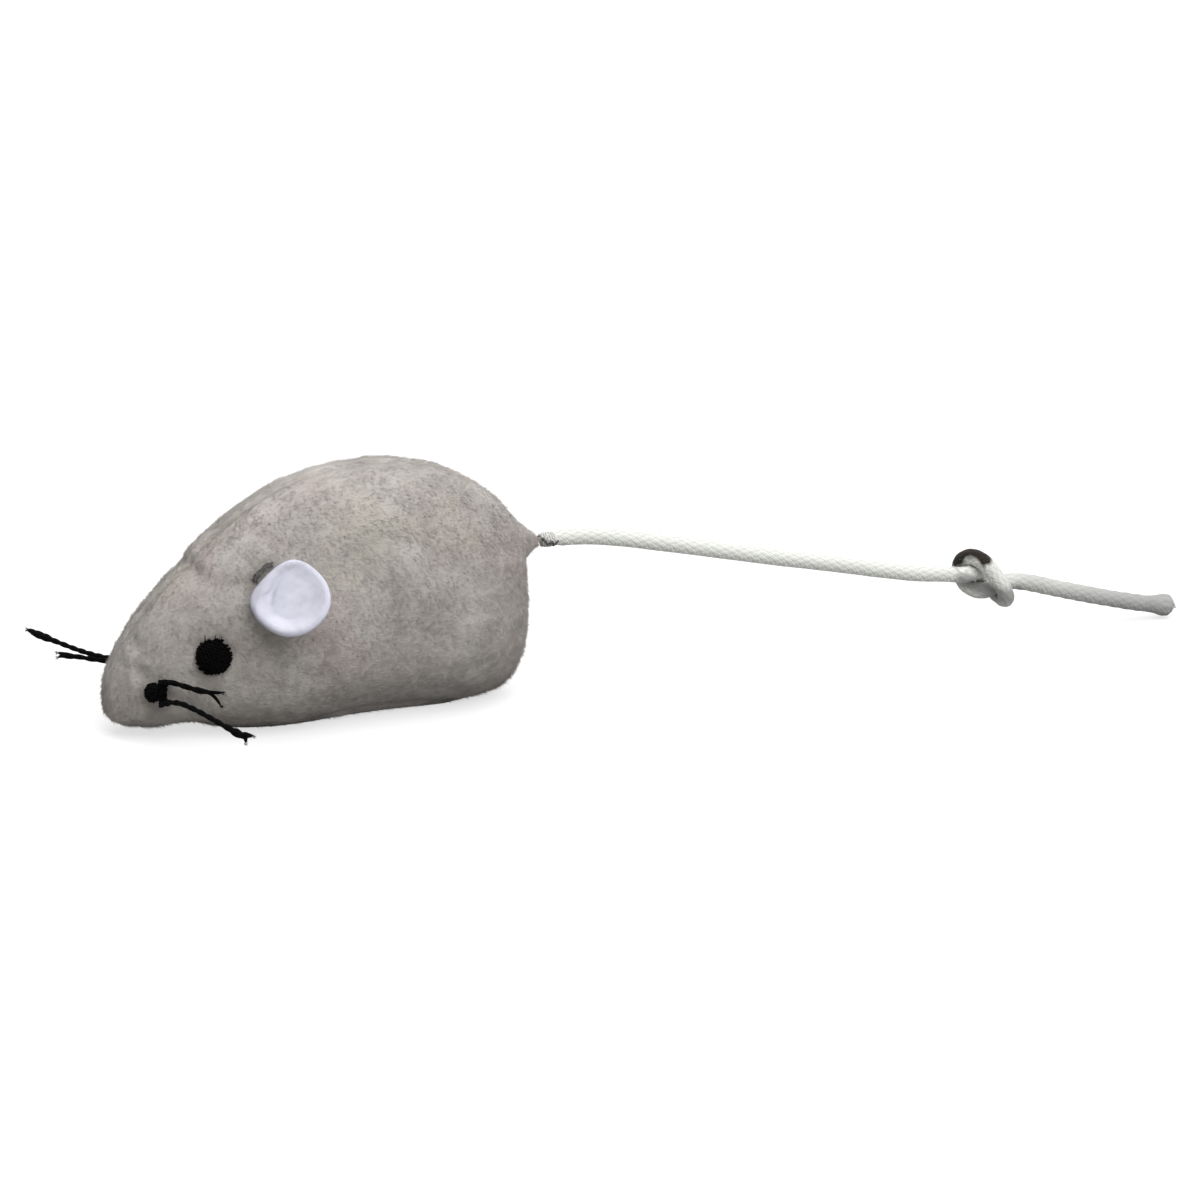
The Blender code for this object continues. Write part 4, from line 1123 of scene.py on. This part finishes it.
def earSheet(side):
    # The middle of the felt, and how far its outer face stands off: a rolled lip, a fold and a cupped rim
    hinge = ear["hinge"] * ear["diameter"]
    rows, relief = [], []
    for ring in range(ear["rings"] + 1):
        share = ring / ear["rings"]
        for number in range(ear["sides"] if ring else 1):
            angle = 2 * math.pi * number / ear["sides"]
            reach = earReach(angle) * share
            x, y = reach * math.cos(angle), reach * math.sin(angle) + hinge
            front = -side * x
            turned = (math.degrees(math.atan2(y - hinge, front)) - ear["rimAngle"] + 180) % 360 - 180
            most = ear["rimLeast"] + (1 - ear["rimLeast"]) * math.exp(-((turned / ear["rimSpread"]) ** 2))
            rise = min(max((share - ear["rimFrom"]) / (1 - ear["rimFrom"]), 0.0), 1.0)
            inner = min(y / ear["cupReach"], 1.0)
            z = ear["rim"] * most * rise**2 * (3 - 2 * rise) * inner - ear["cup"] * inner**2
            z += 0.00007 * math.sin(3 * angle + 1.0 + side) * share**2
            fold = ear["grooveAcross"] + ear["grooveLean"] * front + ear["grooveBend"] * front**2
            fade = min(max((front + 0.0034) / 0.0014, 0.0), max((0.0024 - front) / 0.0012, 0.0), 1.0)
            middle = ear["lipMiddle"] + 0.5 * (fold - ear["grooveAcross"])
            lip = ear["lipRise"] * math.exp(-(((y - middle) / ear["lipReach"]) ** 2))
            groove = ear["groove"] * fade * math.exp(-(((y - fold) / ear["grooveReach"]) ** 2))
            rows.append((x, y, z))
            relief.append((lip - groove) * (1 - share**8))
    return np.array(rows), np.array(relief)


def earShape(side):
    middle, relief = earSheet(side)
    sides, rings = ear["sides"], ear["rings"]
    faces = [(0, 1 + n, 1 + (n + 1) % sides) for n in range(sides)]
    for ring in range(1, rings):
        here, beyond = 1 + (ring - 1) * sides, 1 + ring * sides
        faces += [(here + n, beyond + n, beyond + (n + 1) % sides, here + (n + 1) % sides) for n in range(sides)]
    mesh = bpy.data.meshes.new("felt")
    mesh.from_pydata(middle.tolist(), [], faces)
    mesh.update()
    normals = normalsOf(mesh)
    share = np.concatenate([[0.0], np.repeat(np.arange(1, rings + 1) / rings, sides)])
    thick = ear["thickness"] / 2 * np.sqrt(np.clip(1 - np.clip((share - 0.88) / 0.125, 0, 1) ** 2, 0.02, 1.0))
    bumps = waves(middle, ear["bumpSize"], 21) * ear["bumps"]
    front = middle + normals * (thick + bumps + relief)[:, None]
    rear = middle - normals * (thick + bumps[::-1])[:, None]
    count = len(middle)
    shape = faces + [tuple(c + count for c in reversed(face)) for face in faces]
    last = 1 + (rings - 1) * sides
    edge = [(last + n, last + (n + 1) % sides) for n in range(sides)]
    shape += [(after, here, here + count, after + count) for here, after in edge]
    return np.concatenate([front, rear]), shape


def placed(shape, matrix):
    turn = np.array(matrix)
    return shape[0] @ turn[:3, :3].T + turn[:3, 3], shape[1]


def buildEar(word, side):
    shape = placed(earShape(side), earFrame(side))
    piece = addPiece(f"{word}Ear", shape, earFelt, f"{word}_ear", [f"ear_{word}"], outwards=True)
    points, normals = pointsOf(piece.data), normalsOf(piece.data)
    rim = [i for i in range(len(points)) if (i % (len(points) // 2)) > 1 + (ear["rings"] - 3) * ear["sides"]]
    pick = luck.choice(rim, ear["fuzz"])
    ways = unit(normals[pick] + luck.normal(size=(len(pick), 3)) * 0.6)
    ways *= luck.uniform(0.00012, 0.00030, (len(pick), 1))
    fuzz = addPiece(f"{word}EarFuzz", spikes(points[pick] - normals[pick] * 0.00003, ways, 0.00004), earFelt,
                    f"{word}_ear")


for word, side in (("left", -1), ("right", 1)):
    buildEar(word, side)
print("ears made")


# The eyes, the whisker knots and the whiskers
def facing(place, normal):
    up = (Vector((0.0, 0.0, 1.0)) - normal * normal.z).normalized()
    turn = Matrix((up.cross(normal), up, normal)).transposed().to_4x4()
    return Matrix.Translation(place) @ turn


def hugged(points, matrix):
    # Points made on a flat, in the frame, bent on to the curved plush
    normal = Vector(matrix.col[2][:3])
    made = []
    for x, y, z in points:
        flat = matrix @ Vector((x, y, 0.0))
        hit = cadForm.ray_cast(flat + normal * 0.004, -normal)[0] or flat
        made.append(hit + normal * z)
    return np.array([tuple(p) for p in made])


eye = {"diameter": 0.0041, "height": 0.00125, "padWidth": 0.93, "padHeight": 0.78, "padFoot": -0.0003,
       "threads": 13, "thread": 0.00042, "pitch": 0.0011, "sway": 0.00009, "sunk": 0.00016,
       "stray": 9, "turn": 72.0, "fuzz": 260}


def buildEye(word, side):
    # Satin stitches side by side over a padded spot, with a few loose hairs at the top
    matrix = facing(*onSide("eye", side))
    radius = eye["diameter"] / 2
    wide, high = radius * eye["padWidth"], eye["height"] * eye["padHeight"]
    pad = [(wide * math.sin(a), high * math.cos(a)) for a in np.linspace(0.05, 1.57, 7)]
    points, faces = turnedShape(pad + [(wide, eye["padFoot"])], 28)
    shapes = [(hugged(points, matrix), faces)]
    turn = math.radians(eye["turn"]) * -side
    for number in range(eye["threads"]):
        across = (number / (eye["threads"] - 1) * 2 - 1) * radius * 0.97
        half = math.sqrt(max(radius**2 - across**2, (radius * 0.22) ** 2)) * (1 + luck.uniform(-0.03, 0.02))
        sway = luck.uniform(-1, 1) * eye["sway"]
        line = []
        for place in np.linspace(-half, half, 15):
            share = min(1.0, math.hypot(across, place) / radius)
            z = eye["height"] * math.sqrt(max(0.0, 1 - share**2.2)) - eye["sunk"]
            off = across + sway * (place / max(half, 1e-6))
            line.append((off * math.cos(turn) - place * math.sin(turn),
                         off * math.sin(turn) + place * math.cos(turn), z))
        route = smoothRoute(hugged(line, matrix), 0.00012)
        shapes += plyThread(route, eye["thread"] * luck.uniform(0.95, 1.12), pitch=eye["pitch"], sides=6)
    for _ in range(eye["stray"]):
        angle = math.radians(90 + luck.uniform(-40, 35))
        root = Vector((math.cos(angle), math.sin(angle), 0.0)) * radius * 0.9
        reach = luck.uniform(0.0003, 0.0011)
        lean = luck.uniform(-0.0004, 0.0004)
        line = [(root.x, root.y, 0.0006), (root.x * 1.10 + lean * 0.3, root.y + reach * 0.45, 0.0008),
                (root.x * 1.15 + lean, root.y + reach, 0.0005)]
        route = smoothRoute(hugged(line, matrix), 0.0001)
        shapes.append(sweptTube(route, roundedEnds(runOf(route), 0.000035, 0.0004), 5))
    count = eye["fuzz"]
    angles = luck.uniform(0, 2 * math.pi, count)
    shares = np.sqrt(luck.uniform(0.25, 1.0, count))
    heights = eye["height"] * np.sqrt(np.maximum(0.0, 1 - shares**2.2)) * 0.95
    roots = np.stack([radius * shares * np.cos(angles), radius * shares * np.sin(angles), heights], axis=1)
    ways = unit(luck.normal(size=(count, 3)) + np.array(matrix.col[2][:3]) * 0.8)
    shapes.append(spikes(hugged(roots, matrix), ways * luck.uniform(0.00015, 0.0004, (count, 1)), 0.00005))
    addPiece(f"{word}Eye", joinShapes(shapes), blackThread, "stuffed_body", [f"eye_{word}"],
             outwards=True)


whisker = {
    "knotHeight": 0.0030, "knotThickness": 0.0018, "gap": 0.0003, "thread": 0.00046, "threadPitch": 0.0013,
    "wraps": 7, "ballPlace": (-0.00042, 0.00015, -0.00025), "ball": (0.00100, 0.00118, 0.00105),
    "bundle": 0.00082, "bundleThreads": 4, "bundleStep": 0.00017, "knotFuzz": 220,
    "diameter": 0.00068, "pitch": 0.0034, "fuzz": {"long": 260, "short": 130},
}
# Sweep, height on the knot, photo pixels along it, its other ply's end, fork, thick spot, swelling
whiskers = {
    "left_long": (17.0, -0.00125, ((167, 702.5), (173, 702.5), (180, 703.4), (192.5, 708.5), (210.4, 718),
                                   (228.2, 728), (241.5, 735), (253, 736)), (245.5, 743), 0.91, 0.86, 0.60),
    "left_short": (38.0, 0.00135, ((167, 682), (174, 683.3), (183.6, 686), (201.4, 691), (214, 692.3),
                                   (223, 692.8)), (221, 706.5), 0.70, 0.62, 0.15),
    "right_long": (-20.0, 0.00060, ((106, 657.5), (95, 655), (80, 650.5), (60, 643), (46, 637.5), (36, 633.5),
                                    (27, 629.5)), (29.5, 630.5), 0.93, 0.86, 0.75),
    "right_short": (-36.0, -0.00030, ((106, 661), (95, 659.6), (80, 657), (66, 655.3), (57.5, 652.5)),
                    (58, 658), 0.86, 0.85, 0.25),
}


def knotPlace(side):
    place, normal = onSide("knot", side)
    return place + normal * (whisker["gap"] + whisker["knotThickness"] / 2), normal


def buildWhiskerKnot(word, side):
    # A ball of thread wraps, each crossing the last, with upright strands beside it towards the tail
    size, thread = np.array(whisker["ball"]), whisker["thread"]
    points, faces = turnedShape([(math.sin(a), math.cos(a)) for a in np.linspace(0.0, math.pi, 9)[1:-1]], 20)
    shapes = [(np.array(points) * (size - thread * 0.55), faces)]
    route = []
    for t in np.linspace(0.0, 1.0, 190):
        a = 2 * math.pi * whisker["wraps"] * t
        tilt = math.pi * (t * 1.35) + 0.4
        flat = Vector((math.cos(a), 0.42 * math.sin(a), math.sin(a))).normalized()
        turned = Matrix.Rotation(tilt, 3, "Z") @ flat
        route.append([turned[i] * (size[i] - thread * 0.42) for i in range(3)])
    shapes += plyThread(np.array(route), thread, pitch=whisker["threadPitch"], sides=6)
    count = whisker["knotFuzz"]
    out = unit(luck.normal(size=(count, 3)))
    ways = unit(out + luck.normal(size=(count, 3)) * 0.5) * luck.uniform(0.00015, 0.00035, (count, 1))
    shapes.append(spikes(out * size * 0.92, ways, 0.000045))
    offset = np.array(whisker["ballPlace"]) * (-side, 1.0, 1.0)
    shapes = [(points + offset, faces) for points, faces in shapes]
    half = whisker["knotHeight"] / 2 - 0.00010
    for number in range(whisker["bundleThreads"]):
        slide = (number - 1.5) * whisker["bundleStep"]
        line = [(-side * (whisker["bundle"] + slide * 1.4 + 0.0001 * math.cos(2.2 * v + number)), v * half,
                 0.00045 * (1 - v * v) - 0.00015 - 0.00095 * v**8 + 0.00012 * (number % 2))
                for v in np.linspace(-1.0, 1.0, 13)]  # the ends go down into the plush
        shapes += plyThread(smoothRoute(line, 0.0001), thread * 1.1, pitch=whisker["threadPitch"], sides=6)
    shape = placed(joinShapes(shapes), facing(*knotPlace(side)))
    addPiece(f"{word}WhiskerKnot", shape, blackThread, "stuffed_body",
             [f"whisker_knot_{word}"], outwards=True)


def onStrandPlane(middle, way, pixel):
    # The point straight over or under a whisker's own line that the photo shows at a pixel
    eyePoint, aim = photoRay(*pixel)
    square = way.cross(Vector((0.0, 0.0, 1.0)))
    return eyePoint + aim * ((middle - eyePoint).dot(square) / aim.dot(square))


def forkedPlies(route, forkPoint, forkFrom, thickAt, swell):
    # Two twisted plies that part near the end: one keeps to the route, the other turns off to forkPoint
    diameter, run = whisker["diameter"], runOf(route)
    share = run / run[-1]
    side, up = squareDirections(route)
    late = np.clip((share - forkFrom) / (1 - forkFrom), 0.0, 1.0)[:, None]
    twist = 2 * math.pi * np.minimum(run, run[-1] * forkFrom)[:, None] / whisker["pitch"] + 0.6
    offset = (side * np.cos(twist) + up * np.sin(twist)) * 0.14 * diameter
    first, second = route + offset * (1 - late), route - offset
    begin = int(np.argmax(share >= forkFrom))
    root, way = second[begin], unit(route[begin] - route[begin - 3])
    bend = root + way * np.linalg.norm(forkPoint - root) * 0.5
    t = late[begin:]
    second[begin:] = root * (1 - t) ** 2 + bend * 2 * t * (1 - t) + forkPoint * t**2
    radius = 0.35 * diameter * (1 + swell * np.exp(-(((share - thickAt) / 0.11) ** 2)))
    radius *= 1 - 0.30 * late[:, 0]
    radius *= 1 + 0.08 * waves(route, 0.0016, 33)
    radius = roundedEnds(run, radius, 0.0007)
    return [sweptTube(line, radius, 9) for line in (first, second)], (first[-1], second[-1])


def buildWhisker(key):
    word, size = key.split("_")
    side = -1 if word == "left" else 1
    sweep, rise, pixels, forkPixel, forkFrom, thickAt, swell = whiskers[key]
    middle, _ = knotPlace(side)
    angle = math.radians(sweep)
    way = Vector((math.sin(angle), side * math.cos(angle), 0.0))
    line = [middle + way * 0.0005 + Vector((0.0, 0.0, rise))]
    line += [onStrandPlane(middle, way, pixel) for pixel in pixels]
    route = smoothRoute(line, 0.00010)
    shapes, ends = forkedPlies(route, np.array(onStrandPlane(middle, way, forkPixel)), forkFrom, thickAt, swell)
    count = whisker["fuzz"][size]
    where = (len(route) * luck.uniform(0.05, 1.0, count) ** 0.6).astype(int).clip(0, len(route) - 1)
    out = unit(luck.normal(size=(count, 3)))
    along = np.array(way)[None] * luck.uniform(0.2, 1.2, (count, 1))
    ways = unit(out * 0.5 + along) * luck.uniform(0.0002, 0.0004, (count, 1))
    shapes.append(spikes(route[where] + out * whisker["diameter"] * 0.3, ways, 0.00004))
    for end in ends:  # loose fibres where a ply is cut
        out = unit(luck.normal(size=(16, 3)))
        ways = unit(np.array(way)[None] + out * 0.7) * luck.uniform(0.0002, 0.0005, (16, 1))
        shapes.append(spikes(end + out * 0.00012, ways, 0.00007))
    addPiece(f"{word}{size.title()}Whisker", joinShapes(shapes), blackThread, f"{word}_{size}_whisker",
             [f"whisker_{word}_{size}"], outwards=True)


for word, side in (("left", -1), ("right", 1)):
    buildEye(word, side)
    buildWhiskerKnot(word, side)
for key in whiskers:
    buildWhisker(key)
print("eyes and whiskers made")


# Sewing thread: the ears' tacks, the seams, the whipping and what lies inside
tacks = {"length": 0.0030, "diameter": 0.0006, "rise": -0.00008, "strand": 0.00021, "spread": 0.00028,
         "reaches": (0.74, 1.0, 0.88),  # the passes' lengths, and each pass's course: along, down and aside
         "course": ((-1.0, 0.0010, 1.0), (-0.90, 0.0002, 1.0), (0.0, 0.0, 0.7), (0.90, 0.0002, 1.0),
                    (1.0, 0.0010, 1.0))}


def buildEarTack(word, side):
    # Three passes of thread beside the ear's tacked edge, their ends going down into the plush
    place, normal = onSide("ear", side)
    matrix = earFrame(side)
    across, edge = Vector(matrix.col[1][:3]), Vector(matrix.col[0][:3])
    flat = (across - normal * across.dot(normal)).normalized()
    spot, out, _, _ = cadForm.find_nearest(place - flat * (ear["thickness"] + tacks["diameter"]) / 2)
    centre = spot + out * (ear["gap"] + tacks["diameter"] / 2 + tacks["rise"])
    shapes = []
    for number, reach in enumerate(tacks["reaches"]):
        slide = flat * (number - 1) * tacks["spread"]
        half = edge * tacks["length"] / 2 * reach
        line = [centre + half * along - out * down + slide * aside for along, down, aside in tacks["course"]]
        shapes += plyThread(smoothRoute(line, 0.0001), tacks["strand"])
    addPiece(f"{word}EarStitch", joinShapes(shapes), greyThread, "stuffed_body",
             [f"ear_{word}_stitch"], outwards=True)


seams = {"diameter": 0.0004, "pitch": 0.0011, "depth": 0.00205, "backFrom": 0.08, "backTo": 0.93,
         "wave": 0.00025}


def seamLine(start, way):
    place, normal, _, _ = cadForm.ray_cast(Vector(start), Vector(way))
    return place - normal * seams["depth"], normal


def buildSeamThreads():
    # The lock stitches on the inside of the back seam and of the belly panel's seam
    back, base = [], []
    for share in np.linspace(seams["backFrom"], seams["backTo"], 60):
        place, normal = seamLine(((share - 0.5) * body["length"], 0.0, 0.06), (0, 0, -1))
        back.append(place + normal * seams["wave"] * math.sin(len(back) * 1.6))
    for number in range(96):
        angle = 2 * math.pi * number / 96
        x, y = math.cos(angle), math.sin(angle)
        start = (x * body["baseLength"] * body["length"] / 2, y * baseWidth(x), -0.06)
        place, normal = seamLine(start, (0, 0, 1))
        base.append(place + normal * seams["wave"] * math.sin(number * math.pi / 2))
    base.append(base[0])
    for word, line in (("back", back), ("base", base)):
        shapes = plyThread(smoothRoute(line, 0.00025), seams["diameter"], pitch=seams["pitch"], sides=6)
        addPiece(f"{word}SeamThread", joinShapes(shapes), greyThread, "stuffed_body",
                 [f"{word}_seam_thread"], outwards=True)


whipping = {"radius": 0.00110, "height": 0.00096, "turns": 6, "thread": 0.00036, "core": 0.00074}


def buildWhipping():
    # Turns of pale thread round the drawn-out plush and the cord, with a dark finishing stitch
    middle = Vector(pivot)
    radius = whipping["radius"]
    stops = np.linspace(-1.0, 1.0, 17)
    core = sweptTube(np.array([tuple(middle + Vector((radius * s, 0, 0))) for s in stops]),
                     whipping["core"] * np.sqrt(np.clip(1 - stops**2 * 0.95, 0.02, 1.0)), 20)
    route = []
    for t in np.linspace(0.0, 1.0, 220):
        s = t * 1.84 - 0.92
        angle = 2 * math.pi * whipping["turns"] * t
        reach = (whipping["height"] - whipping["thread"] / 2) * math.sqrt(1 - s * s * 0.45)
        route.append(tuple(middle + Vector((radius * s * 0.92, reach * math.cos(angle), reach * math.sin(angle)))))
    shapes = [core] + plyThread(np.array(route), whipping["thread"], pitch=0.0010, sides=6)
    addPiece("tailWhipping", joinShapes(shapes), paleThread, "tail_root", ["tail_whipping"],
             outwards=True)
    line = []
    for s, angle in ((-0.95, 150), (-0.62, 175), (-0.20, 205), (0.15, 185), (0.48, 215), (0.80, 200), (0.98, 180)):
        turn = math.radians(angle)
        reach = (whipping["height"] + 0.00010) * math.sqrt(1 - s * s * 0.45)
        line.append(middle + Vector((radius * s, reach * math.cos(turn), reach * math.sin(turn))))
    stitch = plyThread(smoothRoute(line, 0.00008), 0.00034, pitch=0.0009, sides=6)
    addPiece("tailFinishingStitch", joinShapes(stitch), greyThread, "tail_root", outwards=True)


inside = {"cord": 0.0011, "knot": 0.0038, "depth": 0.0090, "thread": 0.0008}


def buildInside():
    # The cord's inner end with its anchor knot, the thread between the whisker knots, and the filling
    anchor = Vector(rump) - Vector((inside["depth"], 0.0, 0.0))
    tip = Vector(rump) + Vector((body["pointLength"], 0.0, 0.0))
    line = smoothRoute([anchor, anchor.lerp(tip, 0.33), anchor.lerp(tip, 0.66), tip], 0.0002)
    shapes = plyThread(line, inside["cord"], pitch=0.0024, plies=3, sides=8)
    route = []
    for t in np.linspace(0.0, 1.0, 260):
        a = 2 * math.pi * 6 * t
        spin = Matrix.Rotation(math.pi * 1.7 * t, 3, "X")
        flat = Vector((math.sin(a), math.cos(a), 0.35 * math.sin(a * 0.5)))
        route.append(tuple(anchor + spin @ flat * (inside["knot"] / 2 - inside["cord"] / 2)))
    shapes += plyThread(np.array(route), inside["cord"] * 0.95, pitch=0.0022, sides=8)
    addPiece("tailInnerCord", joinShapes(shapes), braidedCord, "stuffed_body",
             ["tail_inner_cord"], outwards=True)
    left, right = [onSide("knot", side)[0] for side in (-1, 1)]
    line = smoothRoute([left, left.lerp(right, 0.5), right], 0.0003)
    shapes = plyThread(line, inside["thread"], pitch=0.0018)
    print("the thread between the whisker knots is", round((right - left).length * 1000, 1), "mm")
    addPiece("whiskerInnerThread", joinShapes(shapes), blackThread, "stuffed_body",
             ["whisker_inner_thread"], outwards=True)
    filling = sizedForm(3)
    points, normals = pointsOf(filling), normalsOf(filling)
    fluff = 0.5 + 0.5 * waves(points, 0.0045, 40) * 0.6 + 0.4 * waves(points, 0.0016, 41)
    points -= normals * (body["plush"] + 0.0004 + 0.0007 * np.clip(fluff, 0.0, 1.0))[:, None]
    setPoints(filling, points)
    piece = addPiece("fibreFilling", filling, fillingFibre, "stuffed_body", ["fibre_filling"])


for word, side in (("left", -1), ("right", 1)):
    buildEarTack(word, side)
buildSeamThreads()
buildWhipping()
buildInside()
print("sewing and inner pieces made")


# The floor, the light and the world
studio = {
    "floorSize": 8.0, "floorTone": 0.36, "floorGlow": 0.68, "worldLight": 0.22,
    "glowFrom": 0.16, "glowTo": 0.34,  # from here out the floor glows up to full white
    "lamps": (("keyLamp", (0.14, -0.52, 0.68), 1.00, 8.4), ("topLamp", (0.05, 0.22, 0.76), 1.00, 4.9),
              ("fillLamp", (0.55, -0.50, 0.30), 0.45, 0.2)),  # name, place, size, power
}


def seenRays(tree):
    # 1 for what the camera sees, directly or in gloss or glass
    path = tree.nodes.new("ShaderNodeLightPath")
    both = math2(tree, "MAXIMUM", path.outputs["Is Camera Ray"], path.outputs["Is Glossy Ray"])
    return math2(tree, "MAXIMUM", both, path.outputs["Is Transmission Ray"])


def buildStudio():
    size = studio["floorSize"] / 2
    mesh = bpy.data.meshes.new("floor")
    mesh.from_pydata([(-size, -size, 0), (size, -size, 0), (size, size, 0), (-size, size, 0)], [], [(0, 1, 2, 3)])
    floor = bpy.data.objects.new("floor", mesh)
    scene.collection.objects.link(floor)
    tone = studio["floorTone"]
    finish = {"Roughness": 0.9, "Specular IOR Level": 0.1}
    material, tree, shader = newMaterial("paleFloor", (tone, tone, tone), finish)
    place = objectPlace(tree)
    tone = ranged(tree, noise(tree, place, 3.0), 0.0, 1.0, tone - 0.01, tone + 0.01)
    tree.links.new(greyOf(tree, tone), shader.inputs["Base Color"])
    glow = addNode(tree, "ShaderNodeEmission", None, {"Color": (1, 1, 1, 1)})
    away = addNode(tree, "ShaderNodeVectorMath", {"operation": "DISTANCE"}, {0: place, 1: (0.04, 0.0, 0.0)})
    strength = ranged(tree, away.outputs["Value"], studio["glowFrom"], studio["glowTo"], studio["floorGlow"], 1.0)
    tree.links.new(math2(tree, "MULTIPLY", seenRays(tree), strength), glow.inputs["Strength"])
    both = addNode(tree, "ShaderNodeAddShader", None, {0: shader.outputs[0], 1: glow.outputs[0]})
    tree.links.new(both.outputs[0], tree.nodes["Material Output"].inputs["Surface"])
    mesh.materials.append(material)
    world = bpy.data.worlds.new("studio")
    world.use_nodes = True
    tree = world.node_tree
    light = tree.nodes["Background"]
    light.inputs["Color"].default_value = (1.0, 1.0, 1.0, 1.0)
    light.inputs["Strength"].default_value = studio["worldLight"]
    white = addNode(tree, "ShaderNodeBackground", None, {"Color": (1, 1, 1, 1), "Strength": 1.0})
    mix = addNode(tree, "ShaderNodeMixShader", None, {0: seenRays(tree), 1: light.outputs[0], 2: white.outputs[0]})
    tree.links.new(mix.outputs[0], tree.nodes["World Output"].inputs["Surface"])
    scene.world = world
    for name, place, across, power in studio["lamps"]:
        data = bpy.data.lights.new(name, "AREA")
        data.shape, data.size, data.energy = "DISK", across, power
        lamp = bpy.data.objects.new(name, data)
        lamp.location = place
        lamp.rotation_euler = (Vector((0.01, 0.0, 0.012)) - Vector(place)).to_track_quat("-Z", "Y").to_euler()
        scene.collection.objects.link(lamp)
    scene.view_settings.view_transform = "Standard"


buildStudio()
print("studio made")
